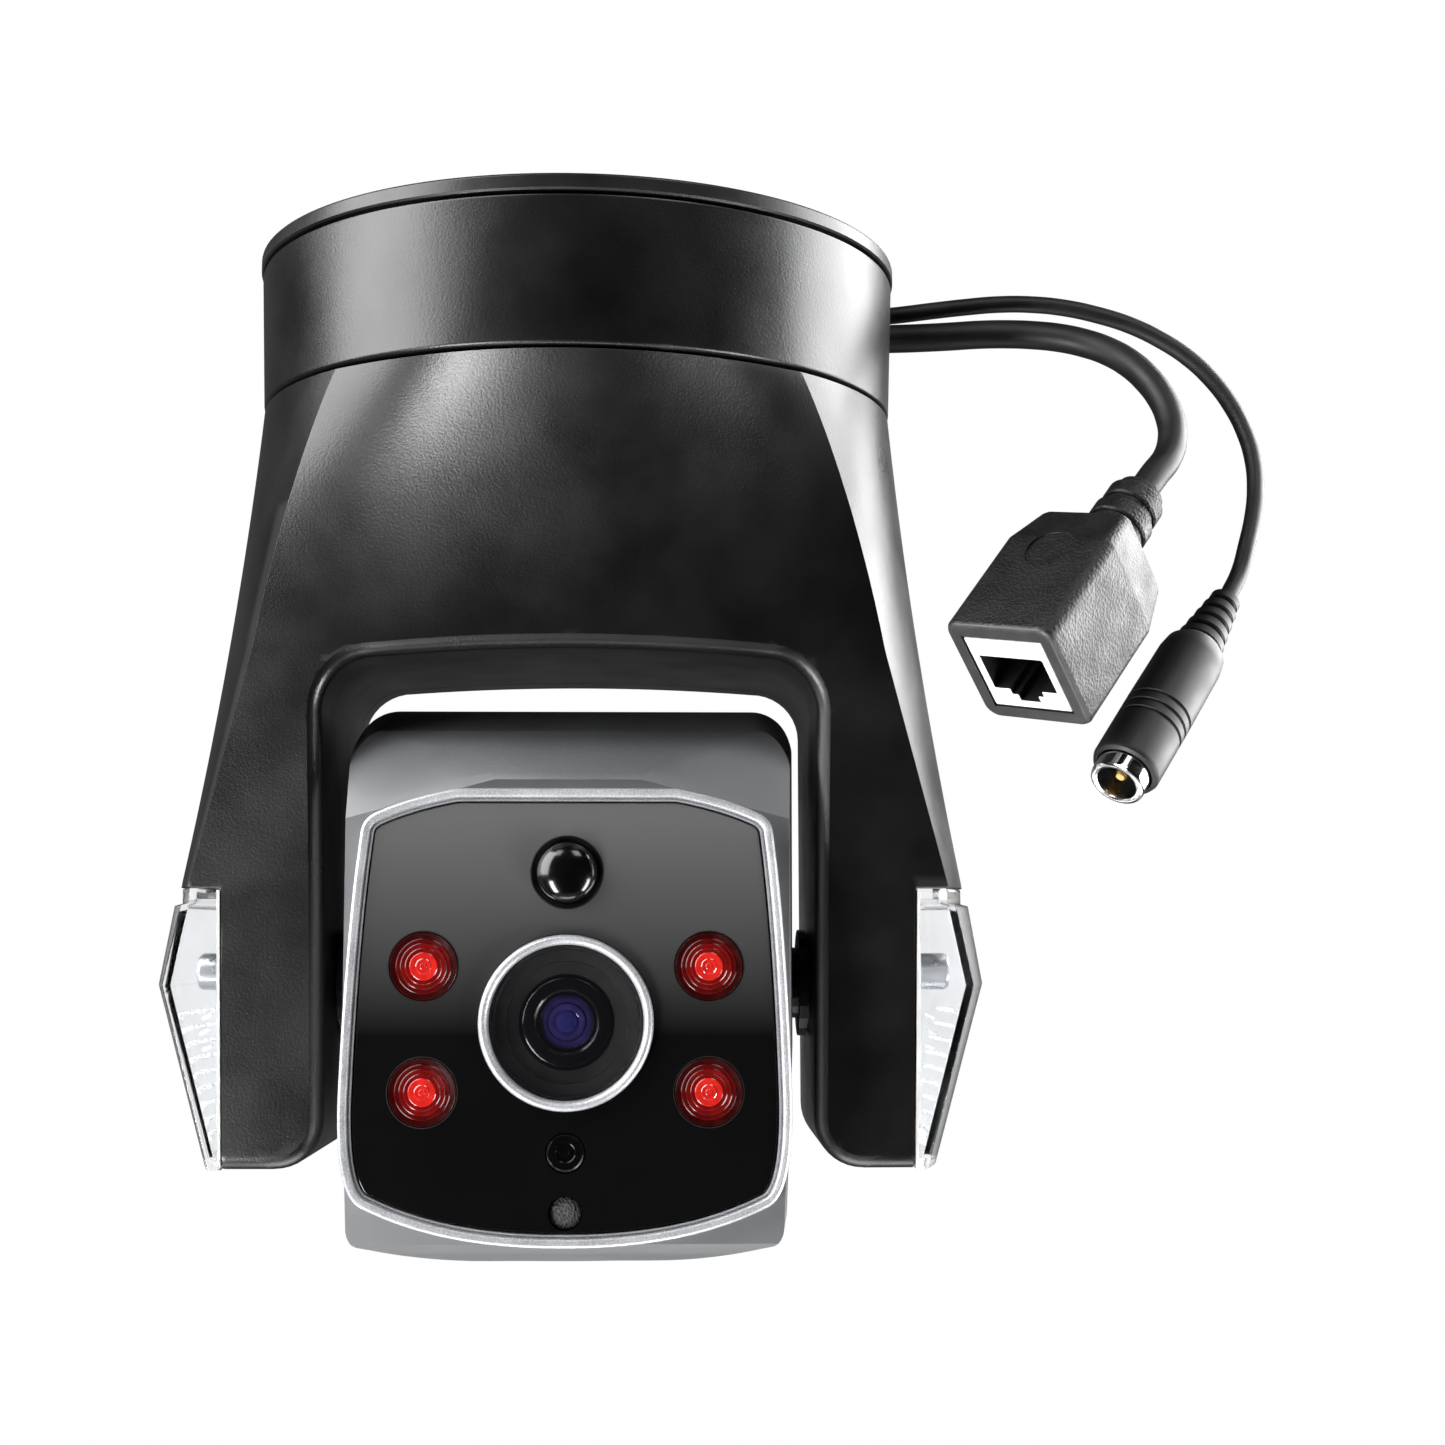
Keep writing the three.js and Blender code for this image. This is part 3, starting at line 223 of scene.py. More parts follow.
SPARKED_BLACK = Finish("sparked_black", "textured_black", (0.0025, 0.0025, 0.0026), 0.32, 0.0, 0.05, 0.15,
                       14.0, grain_size=0.42, grain_depth=0.035, wear=0.5)
PLATE_BLACK = Finish("plate_black", "textured_black", (0.003, 0.003, 0.0032), 0.36, 0.0, 0.05, 0.15,
                     12.0, grain_size=0.5, grain_depth=0.02, wear=0.5)
SATIN_PAINT = Finish("satin_paint", "satin_metal", (0.3, 0.305, 0.315), 0.38, 0.8, 0.03, 0.05, 16.0,
                     Grain.CELLS, 0.16, 0.006, 0.12, 0.15)
SPARKLE_SILVER = Finish("sparkle_silver", "silver", (0.4, 0.405, 0.42), 0.42, 0.6, 0.06, 0.08, 5.0,
                        Grain.CELLS, 0.26, 0.03, 0.35, 0.1)
# The smoked glass has a painted reflection: its colour lightens from z -131 mm up to -97 mm.
SMOKED_GLASS = Finish("smoked_glass", "smoked_glass", (0.0028, 0.0028, 0.003), 0.05, 0.0, 0.02, 0.1, 20.0,
                      grain_size=6.0, grain_depth=0.0, painted_reflection=(-131.0, -97.0, 0.085))
MATT_BLACK = Finish("matt_black", "black_plastic", (0.0028, 0.0028, 0.003), 0.5, 0.0, 0.06, 0.15, 4.0,
                    grain_size=0.25, grain_depth=0.015)
PIR_BLACK = Finish("pir_black", "black_dome", (0.0015, 0.0015, 0.0018), 0.16, 0.0, 0.03, 0.1, 3.0,
                   grain_size=0.6, grain_depth=0.003)
RED_RIM = Finish("red_rim", "red_lens", (0.022, 0.0012, 0.0012), 0.2, 0.0, 0.04, 0.2, 2.0,
                 grain_size=0.3, grain_depth=0.004)
RED_GLASS = Finish("red_glass", "red_lens", (0.11, 0.003, 0.0028), 0.16, 0.0, 0.04, 0.2, 2.5,
                   grain_size=0.3, grain_depth=0.004, coat=0.6)
RED_MIDDLE = Finish("red_middle", "red_lens", (0.06, 0.002, 0.002), 0.18, 0.0, 0.04, 0.2, 2.5,
                    grain_size=0.3, grain_depth=0.004, coat=0.4)
# The red cores carry a painted glow that brightens the middle of each infrared window.
RED_CORE = Finish("red_core", "red_lens", (0.4, 0.012, 0.009), 0.14, 0.0, 0.03, 0.15, 1.5,
                  grain_size=0.3, grain_depth=0.004, coat=0.8, painted_glow=0.08)
FOAM = Finish("foam", "black_plastic", (0.02, 0.02, 0.021), 0.8, 0.0, 0.08, 0.3, 2.0,
              Grain.CELLS, 0.45, 0.25, 0.8)
CLEAR_COVER = Finish("clear_cover", "clear_plastic", (0.93, 0.94, 0.95), 0.05, 0.0, 0.03, 0.03, 12.0,
                     grain_size=1.6, grain_depth=0.004, clear=1.0)
CLEAR_PRISM = Finish("clear_prism", "clear_plastic", (0.9, 0.91, 0.93), 0.12, 0.0, 0.05, 0.05, 3.0,
                     grain_size=0.5, grain_depth=0.01)
FRONT_GLASS = Finish("front_glass", "coated_glass", (0.01, 0.01, 0.012), 0.03, 0.0, 0.01, 0.01, 10.0,
                     grain_size=4.0, grain_depth=0.0, solid=0.14)
COATED_GLASS = Finish("coated_glass", "coated_glass", (0.03, 0.022, 0.12), 0.05, 0.25, 0.02, 0.25, 3.0,
                      grain_size=2.0, grain_depth=0.001, coat=1.0)
COATED_CORE = Finish("coated_core", "coated_glass", (0.02, 0.02, 0.12), 0.04, 0.2, 0.02, 0.3, 1.5,
                     grain_size=2.0, grain_depth=0.001, coat=1.0)
GREY_METAL = Finish("grey_metal", "chrome", (0.42, 0.43, 0.45), 0.3, 0.9, 0.05, 0.1, 4.0,
                    grain_size=0.3, grain_depth=0.006)
WHITE_PLASTIC = Finish("white_plastic", "white_plastic", (0.72, 0.71, 0.68), 0.42, 0.0, 0.06, 0.05, 4.0,
                       grain_size=0.3, grain_depth=0.01)
SPECKLED_BLACK = Finish("speckled_black", "rubber", (0.003, 0.0028, 0.0028), 0.5, 0.0, 0.08, 0.2, 5.0,
                        Grain.CELLS, 0.55, 0.08, 0.9)
RIM_GREY = Finish("rim_grey", "rubber", (0.03, 0.03, 0.031), 0.42, 0.0, 0.05, 0.12, 3.0,
                  grain_size=0.3, grain_depth=0.01)
CORD_BLACK = Finish("cord_black", "rubber", (0.0045, 0.0032, 0.003), 0.5, 0.0, 0.06, 0.2, 6.0,
                    grain_size=0.35, grain_depth=0.012)
CHROME = Finish("chrome", "chrome", (0.82, 0.82, 0.84), 0.1, 1.0, 0.04, 0.04, 3.0,
                grain_size=0.5, grain_depth=0.002)
GOLD = Finish("gold", "gold", (0.78, 0.5, 0.18), 0.24, 1.0, 0.06, 0.1, 2.0, grain_size=0.3, grain_depth=0.004)
STEEL = Finish("steel", "steel", (0.5, 0.5, 0.51), 0.28, 1.0, 0.06, 0.08, 4.0, grain_size=0.4,
               grain_depth=0.006)
BLACK_STEEL = Finish("black_steel", "steel", (0.02, 0.02, 0.021), 0.4, 0.6, 0.06, 0.1, 4.0, grain_size=0.4,
                     grain_depth=0.006)
ACETAL = Finish("acetal", "acetal", (0.7, 0.68, 0.6), 0.45, 0.0, 0.05, 0.05, 5.0, grain_size=0.4,
                grain_depth=0.01)
PALE_BOARD = Finish("pale_board", "board", (0.78, 0.79, 0.8), 0.4, 0.0, 0.05, 0.05, 3.0, grain_size=0.5,
                    grain_depth=0.006)
BOARD = Finish("board", "board", (0.012, 0.09, 0.035), 0.4, 0.0, 0.08, 0.3, 2.0, grain_size=0.6,
               grain_depth=0.02)

CARRIED = {
    SPARKED_BLACK: ["cable_gland"],
    BLACK_STEEL: ["right_axle", "left_axle", "right_axle_bush", "left_axle_bush", "pan_bush"],
    STEEL: ["pan_hub", "pan_nut"],
    ACETAL: ["pan_gear", "pan_pinion", "tilt_gear", "tilt_pinion", "cut_filter"],
    BOARD: ["base_board", "led_board", "image_board", "main_board"],
    PALE_BOARD: ["left_lamp_board", "right_lamp_board"],
    MATT_BLACK: ["power_module", "image_sensor", "lens_holder", "pan_motor", "tilt_motor", "pir_sensor"],
    GOLD: ["rj45_contacts", "dc_jack_pin"],
}


# ---------------------------------------------------------------- workbench
def choose(obj: Mesh) -> Mesh:
    """Makes an object the only selected and active one.

    Args:
        obj: The piece.

    Returns:
        The piece.
    """
    if bpy.context.object and bpy.context.object.mode != "OBJECT":
        bpy.ops.object.mode_set(mode="OBJECT")
    bpy.ops.object.select_all(action="DESELECT")
    obj.select_set(True)
    bpy.context.view_layer.objects.active = obj
    return obj


def clean(obj: Mesh, fill: bool = False) -> Mesh:
    """Merges doubles, fills open ends if asked, and turns the faces outwards.

    Args:
        obj: The piece.
        fill: Whether open ends are closed.

    Returns:
        The piece.
    """
    choose(obj)
    bpy.ops.object.mode_set(mode="EDIT")
    bpy.ops.mesh.select_all(action="SELECT")
    bpy.ops.mesh.remove_doubles(threshold=0.002 * MM)
    if fill:
        bpy.ops.mesh.fill_holes(sides=0)
    bpy.ops.mesh.select_all(action="SELECT")
    bpy.ops.mesh.normals_make_consistent(inside=False)
    bpy.ops.object.mode_set(mode="OBJECT")
    return obj


def skin(name: str, rings: Sequence[Ring], caps: bool = True) -> Mesh:
    """Stretches a grid over closed rings of points.

    Args:
        name: Name of the piece.
        rings: Rings with the same number of points each, in millimetres.
        caps: Whether the first and last ring are closed with a face; if not, they are the same ring.

    Returns:
        The closed piece.
    """
    bpy.ops.object.select_all(action="DESELECT")
    columns = len(rings[0])
    bpy.ops.mesh.primitive_grid_add(x_subdivisions=columns, y_subdivisions=len(rings) - 1, size=1)
    obj = bpy.context.object
    obj.name = obj.data.name = name
    places = [place for ring in rings for place in (*ring, ring[0])]
    for vertex, place in zip(obj.data.vertices, places, strict=True):
        vertex.co = Vector(place) * MM
    return clean(obj, fill=caps)


def turned(name: str, profile: Sequence[Flat], axis: str, at: Point = (0, 0, 0), steps: int = 72) -> Mesh:
    """Spins a profile of (radius, place along the axis) points about an axis through a point.

    Args:
        name: Name of the piece.
        profile: Corners of the profile, in millimetres.
        axis: Axis of the spin: x, y or z.
        at: Point that the axis passes through, in millimetres.
        steps: Number of facets around.

    Returns:
        The piece.
    """
    mesh = bpy.data.meshes.new(name)
    corners = [Vector((radius, 0, along)) * MM for radius, along in profile]
    mesh.from_pydata(corners, [(i, i + 1) for i in range(len(corners) - 1)], [])
    obj = bpy.data.objects.new(name, mesh)
    bpy.context.scene.collection.objects.link(obj)
    choose(obj)
    bpy.ops.object.mode_set(mode="EDIT")
    bpy.ops.mesh.select_all(action="SELECT")
    bpy.ops.mesh.spin(steps=steps, angle=2 * math.pi, center=(0, 0, 0), axis=(0, 0, 1))
    bpy.ops.object.mode_set(mode="OBJECT")
    clean(obj)
    turn = {"x": Matrix.Rotation(math.pi / 2, 4, "Y"), "y": Matrix.Rotation(-math.pi / 2, 4, "X")}
    obj.data.transform(Matrix.Translation(Vector(at) * MM) @ turn.get(axis, Matrix.Identity(4)))
    return obj


def block(name: str, low: Point, high: Point, edge: float = 0.0, segments: int = 2) -> Mesh:
    """A box between two corners in millimetres, its edges rounded by a bevel.

    Args:
        name: Name of the piece.
        low: Lower corner or end, in millimetres.
        high: Upper corner or end, in millimetres.
        edge: Width of the rounding, or 0 for none.
        segments: Number of facets across a rounding.

    Returns:
        The piece.
    """
    bpy.ops.object.select_all(action="DESELECT")
    bpy.ops.mesh.primitive_cube_add(size=1)
    obj = bpy.context.object
    obj.name = obj.data.name = name
    middle, size = (Vector(low) + Vector(high)) / 2 * MM, (Vector(high) - Vector(low)) * MM
    obj.data.transform(Matrix.Translation(middle) @ Matrix.Diagonal((*size, 1)))
    return soften(obj, edge, segments) if edge else obj


def rod(name: str, axis: str, radius: float, low: float, high: float, at: Point = (0, 0, 0),
        steps: int = 64) -> Mesh:
    """A round bar along an axis through a point."""
    return turned(name, [(0, low), (radius, low), (radius, high), (0, high)], axis, at, steps)


def combine(body: Mesh, tools: Iterable[Mesh], how: str = "DIFFERENCE") -> Mesh:
    """Cuts the tools from a body, joins them to it, or keeps what they share."""
    for tool in tools:
        choose(body)
        change = body.modifiers.new("combine", "BOOLEAN")
        change.operation, change.solver, change.object = how, "EXACT", tool
        bpy.ops.object.modifier_apply(modifier=change.name)
        bpy.data.objects.remove(tool)
    return body


def soften(obj: Mesh, width: float, segments: int = 2, angle: float = 32.0) -> Mesh:
    """Rounds the edges that turn more than an angle in degrees.

    Args:
        obj: The piece.
        width: Width of the rounding, in millimetres.
        segments: Number of facets across a rounding.
        angle: Edges that turn more than this many degrees are rounded.

    Returns:
        The piece.
    """
    choose(obj)
    bevel = obj.modifiers.new("soften", "BEVEL")
    bevel.width, bevel.segments, bevel.limit_method = width * MM, segments, "ANGLE"
    bevel.angle_limit = math.radians(angle)
    bevel.miter_outer = "MITER_ARC"
    bpy.ops.object.modifier_apply(modifier=bevel.name)
    return obj


def copy_of(obj: Mesh, name: str, matrix: Matrix) -> Mesh:
    """A copy of a piece with its own mesh, moved by a matrix.

    Args:
        obj: The piece.
        name: Name of the piece.
        matrix: Where the copy is moved.

    Returns:
        The piece.
    """
    twin = obj.copy()
    twin.data = obj.data.copy()
    twin.name = twin.data.name = name
    bpy.context.scene.collection.objects.link(twin)
    twin.data.transform(matrix)
    if matrix.determinant() < 0:
        twin.data.flip_normals()
    return twin


def finish_piece(obj: Mesh, finish: Finish, body: str, *nodes: str, smooth: float = 35.0) -> Mesh:
    """Smooths a piece, dresses it, and makes it ride on a body in place of CAD nodes.

    Args:
        obj: The piece.
        finish: Finish that dresses the piece.
        body: Rigid body that it rides on.
        nodes: CAD nodes that the piece replaces.
        smooth: Edges that turn less than this many degrees are shaded smooth.

    Returns:
        The piece.
    """
    choose(obj)
    bpy.ops.object.shade_smooth_by_angle(angle=math.radians(smooth))
    weigh = obj.modifiers.new("weigh", "WEIGHTED_NORMAL")
    weigh.keep_sharp = True
    bpy.ops.object.modifier_apply(modifier=weigh.name)
    if not obj.data.materials:
        obj.data.materials.append(finish.material())
    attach(obj, body)
    if nodes:
        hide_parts(*nodes)
    LOG.info("%s: %d faces on %s", obj.name, len(obj.data.polygons), body)
    return obj


def banded(obj: Mesh, finishes: Sequence[Finish], pick: Callable[[Vector], int]) -> Mesh:
    """Gives each face one of several finishes, picked by the place of its middle in millimetres.

    Args:
        obj: The piece.
        finishes: The finishes to pick from.
        pick: Gives the number of a face's finish from its middle.

    Returns:
        The piece.
    """
    for finish in finishes:
        obj.data.materials.append(finish.material())
    for face in obj.data.polygons:
        face.material_index = pick(Vector(face.center) / MM)
    return obj


def arc(x: float, y: float, radius: float, start: float, end: float, steps: int) -> list[Flat]:
    """Points on an arc, in degrees."""
    angles = [math.radians(start + (end - start) * i / steps) for i in range(steps + 1)]
    return [(x + radius * math.cos(a), y + radius * math.sin(a)) for a in angles]


def inset(points: Sequence[Flat], distance: float) -> list[Flat]:
    """A closed anticlockwise outline moved in, point by point.

    Args:
        points: The outline.
        distance: How far to move in, in millimetres.

    Returns:
        The points, in millimetres.
    """
    count, moved = len(points), []
    for i, (x, y) in enumerate(points):
        (ax, ay), (bx, by) = points[i - 1], points[(i + 1) % count]
        first = Vector((x - ax, y - ay)).normalized()
        second = Vector((bx - x, by - y)).normalized()
        along = (first + second).normalized()
        share = max(0.5, along.dot(first))
        moved.append((x - along.y * distance / share, y + along.x * distance / share))
    return moved


def upright(points: Sequence[Flat], y: float) -> Ring:
    """An outline of (x, z) points set up at a depth."""
    return [(x, y, z) for x, z in points]


def mirrored(points: Sequence[Flat]) -> list[Flat]:
    """The same points on the other side, in reverse order."""
    return [(-x, y) for x, y in reversed(points)]


# ---------------------------------------------------------------- base
@dataclass
class Base:
    """Ceiling plate, round housing, screws and gland."""

    radius: float = 55.0
    foot: float = 54.1
    bottom: float = -26.3
    plate: float = 2.6
    seam: float = 0.5
    wall: float = 2.6
    hub_hole: float = 15.3
    screw_circle: float = 38.0
    side_screws: tuple[float, float] = (60.0, 140.0)
    screw_z: float = -6.4

    def build(self) -> None:
        """Builds and dresses the base."""
        self._plate()
        self._housing()
        self._side_screws()

    def _plate(self) -> None:
        """Ceiling plate with its three screw holes, a skirt inside the housing and a notch for the gland."""
        inner, r, low = self.radius - self.wall - 0.3, self.radius, -self.plate
        profile = [(0, 0), *[(r - 0.5 + x, -0.5 + y) for x, y in arc(0, 0, 0.5, 90, 0, 3)],
                   (r, low + 0.3), (r - 0.3, low), (inner, low), (inner, low - 7), (inner - 2, low - 7),
                   (inner - 2, low), (0, low)]
        plate = turned("ceiling_plate", profile, "z", steps=160)
        tools = [block("notch", (inner - 6, -3.4, -20), (r - 2.2, 14.6, low - 0.3))]
        for turn in (90, 210, 330):
            x = self.screw_circle * math.cos(math.radians(turn))
            y = self.screw_circle * math.sin(math.radians(turn))
            hole = [(0, -9), (2.3, -9), (2.3, -0.5), (2.8, 1), (0, 1)]
            tools.append(turned("hole", hole, "z", (x, y, 0), 40))
        finish_piece(combine(plate, tools), PLATE_BLACK, "base", "mounting_plate")

    def _housing(self) -> None:
        """Round housing: a cup with a floor, its lower rim rounded, open where the gland sits."""
        r, top, low, wall = self.radius, -self.plate - self.seam, self.bottom, self.wall
        profile = [
            (self.hub_hole, low), *arc(self.foot - 0.7, low + 0.7, 0.7, -90, 0, 4),
            (r - 0.3, top - 0.5), (r - 0.45, top - 0.15), (r - 0.8, top), (r - wall, top),
            (self.foot - wall, low + 3), (self.hub_hole, low + 3), (self.hub_hole, low),
        ]
        cup = turned("base_shell", profile, "z", steps=192)
        outlet = block("outlet", (46, -1.6, -13.4), (70, 12.8, top + 1), 0.4)
        sink = rod("sink", "x", 3.1, 53.6, 60, (0, 0, self.screw_z), 32)
        sinks = [copy_of(sink, "sink_at", Matrix.Rotation(math.radians(turn), 4, "Z"))
                 for turn in self.side_screws]
        bpy.data.objects.remove(sink)
        finish_piece(combine(cup, [outlet, *sinks]), SPARKED_BLACK, "base", "base_housing")

    def _side_screws(self) -> None:
        """Two pan-head screws with crossed slots, sunk in the housing's side."""
        head = [(0, 53.3), (2.6, 53.3), (2.7, 53.9), (2.3, 54.5), (1.2, 54.8), (0, 54.85)]
        screw = turned("side_screw", head, "x", (0, 0, self.screw_z), 40)
        slots = [block("slot", (54.2, -1.7, -6.7), (56, 1.7, -6.1)),
                 block("slot", (54.2, -0.3, -8.1), (56, 0.3, -4.7))]
        combine(screw, slots)
        for number, turn in enumerate(self.side_screws, 1):
            piece = copy_of(screw, f"side_screw_head_{number}", Matrix.Rotation(math.radians(turn), 4, "Z"))
            finish_piece(piece, STEEL, "base", f"side_screw_{number}")
        bpy.data.objects.remove(screw)


# ---------------------------------------------------------------- yoke
@dataclass
class Yoke:
    """The flaring fork that carries the head between its arms."""

    top: float = -26.8
    top_radius: float = 54.0
    step: float = -107.6
    step_radius: float = 66.0
    bottom: float = -153.0
    arm: float = 55.7
    inner: float = 39.6
    arch_top: float = -70.0
    arch_crown: float = 1.3
    arch_radius: float = 8.5
    foot_radius: float = 8.0
    wall: float = 2.4
    split: float = 17.0
    lip: float = 2.6
    front: tuple[float, ...] = (54.3, 35.0, 26.5, 20.6)
    back: tuple[float, ...] = (54.3, 28.0, 24.5, 20.0)

    def side_radius(self, z: float) -> float:
        """Radius of the flaring sides at a height."""
        t = min(1.0, max(0.0, (self.top - z) / (self.top - self.step)))
        return self.top_radius + (self.step_radius - self.top_radius) * (0.65 * t + 0.35 * t * t)

    def depth(self, z: float, face: tuple[float, ...]) -> Flat:
        """How far the front or back stands from the axis at a height, in the middle, and its crown.

        Args:
            z: Height in millimetres.
            face: The front's or the back's depths, or its surface.

        Returns:
            The depth and the crown.
        """
        at_top, arch, step, foot = face
        if z > self.arch_top:
            rise = ((z - self.arch_top) / (self.top + 1.2 - self.arch_top)) ** 1.7
            return arch + (at_top - arch) * rise, 3.7 + 10.6 * rise
        if z > self.step:
            t = (self.arch_top - z) / (self.arch_top - self.step)
            return arch + (step - arch) * t, 3.7 - 2.2 * t
        t = (self.step - z) / (self.step - self.bottom)
        return step + (foot - step) * t, 1.5 - 0.5 * t

    def reach(self, x: float, z: float, radius: float, face: tuple[float, ...], wall: float = 0.0) -> float:
        """Depth of the front or back surface at a place.

        Args:
            x: Place across.
            z: Height in millimetres.
            radius: Radius in millimetres.
            face: The front's or the back's depths, or its surface.
            wall: How far to move in, in millimetres.

        Returns:
            The value in millimetres.
        """
        middle, crown = self.depth(z, face)
        edge, r = middle - crown - wall, radius - wall
        half = math.sqrt(r * r - edge * edge)
        inside = math.sqrt(max(0.0, r * r - x * x))
        return min(inside, edge + crown * (1 - (x / half) ** 2))

    def level(self, z: float, radius: float, wall: float, fine: int = 56) -> Ring:
        """Level outline of the flaring body, anticlockwise from above, moved in by a wall.

        Args:
            z: Height in millimetres.
            radius: Radius in millimetres.
            wall: How far to move in, in millimetres.
            fine: Number of facets across the front.

        Returns:
            The ring.
        """
        r, halves = radius - wall, []
        for face in (self.front, self.back):
            middle, crown = self.depth(z, face)
            edge = middle - crown - wall
            half = math.sqrt(r * r - edge * edge)
            xs = [-half * math.cos(math.pi * i / fine) for i in range(fine + 1)]
            points = [(x, -self.reach(x, z, radius, face, wall)) for x in xs]
            halves.append((points, math.degrees(math.atan2(edge, half))))
        (front, low), (back, high) = halves
        right = arc(0, 0, r, -low, high, fine // 2)[1:-1]
        left = arc(0, 0, r, 180 - high, 180 + low, fine // 2)[1:-1]
        outline = [*front, *right, *[(-x, -y) for x, y in back], *left]
        return [(x, y, z) for x, y in outline]

    def loft(self, name: str, top: float, bottom: float, wall: float, rounding: float) -> Mesh:
        """The flaring body between two heights, with a rounded lower edge.

        Args:
            name: Name of the piece.
            top: Upper height.
            bottom: Lower height.
            wall: How far to move in, in millimetres.
            rounding: Radius of the lower edge, or 0.

        Returns:
            The piece.
        """
        levels = 90
        heights = [top + (bottom + rounding - top) * i / levels for i in range(levels + 1)]
        rings = [self.level(z, self.side_radius(z), wall) for z in heights]
        if rounding:
            for across, rise in arc(0, 0, rounding, 0, 80, 6)[1:]:
                z = bottom + rounding - rise
                rings.append(self.level(z, self.side_radius(z), wall + rounding - across))
        return skin(name, rings)

    def arch(self, wall: float, low: float, steps: int = 10) -> list[Flat]:
        """Right half of the opening between the arms, from its foot up to the crown.

        Args:
            wall: How far to move in, in millimetres.
            low: Lower corner or end, in millimetres.
            steps: Number of facets around.

        Returns:
            The points, in millimetres.
        """
        half, r, foot = self.inner + wall, self.arch_radius + wall, self.foot_radius - wall
        crown = self.arch_top - self.arch_crown + wall
        over = [((half - r) * (1 - i / 12),
                 crown + self.arch_crown * (1 - (1 - i / 12) ** 2)) for i in range(1, 13)]
        base = self.bottom + wall
        rise = [(half, base + foot + (crown - r - base - foot) * i / 18) for i in range(1, 18)]
        return [(half + foot, low), (half + foot, base - 0.01),
                *arc(half + foot, base + foot, foot, 270, 180, steps),
                *rise, *arc(half - r, crown - r, r, 0, 90, steps), *over]

    def arch_outline(self, wall: float, low: float) -> list[Flat]:
        """The whole opening, anticlockwise seen from the front."""
        right = self.arch(wall, low)
        return [*right, *mirrored(right[:-1])]

    def opening(self) -> Mesh:
        """Cutter of the opening, whose mouth flares into a rounded edge at the front and back."""
        outline = self.arch_outline(0, self.bottom - 8)
        quarter = [math.radians(turn) for turn in range(0, 79, 13)]
        rings = [upright(inset(outline, -self.lip), -FAR)]
        for sign, face, turns in ((-1, self.front, quarter[::-1]), (1, self.back, quarter)):
            for turn in turns:
                ring = []
                for x, z in inset(outline, -self.lip * (1 - math.cos(turn))):
                    level = max(self.bottom, min(z, self.top))
                    surface = self.reach(x, level, self.side_radius(level), face)
                    ring.append((x, sign * (surface - self.lip * (1 - math.sin(turn))), z))
                rings.append(ring)
        rings.append(upright(inset(outline, -self.lip), FAR))
        return skin("opening", rings)

    def build(self) -> None:
        """Builds the shells, split behind the arms."""
        body = self.loft("yoke_shell", self.top, self.bottom, 0, 2.4)
        sides = [block("side", (self.arm, -FAR, -FAR), (FAR, FAR, self.step)),
                 block("side", (-FAR, -FAR, -FAR), (-self.arm, FAR, self.step))]
        combine(body, [*sides, self.opening()])
        hollow = self.loft("hollow", self.top - 3, self.bottom + self.wall, self.wall, 0)
        inner = self.arm - self.wall
        keep = [block("side", (inner, -FAR, -FAR), (FAR, FAR, self.step + self.wall)),
                block("side", (-FAR, -FAR, -FAR), (-inner, FAR, self.step + self.wall)),
                skin("keep", [upright(self.arch_outline(self.wall + 0.4, self.bottom - 8), y)
                              for y in (-FAR, FAR)])]
        combine(hollow, keep)
        combine(body, [hollow])
        combine(body, [rod("bore", "x", 8.3, -inner + 1, inner - 1, (0, 0, TILT_AXIS))])
        rear = copy_of(body, "yoke_back", Matrix.Identity(4))
        combine(body, [block("half", (-FAR, self.split - 0.15, -FAR), (FAR, FAR, FAR))])
        combine(rear, [block("half", (-FAR, -FAR, -FAR), (FAR, self.split + 0.15, FAR))])
        finish_piece(soften(body, 0.5, 2, 38), SPARKED_BLACK, "yoke", "yoke_front_shell")
        finish_piece(soften(rear, 0.5, 2, 38), SPARKED_BLACK, "yoke", "yoke_rear_cover")


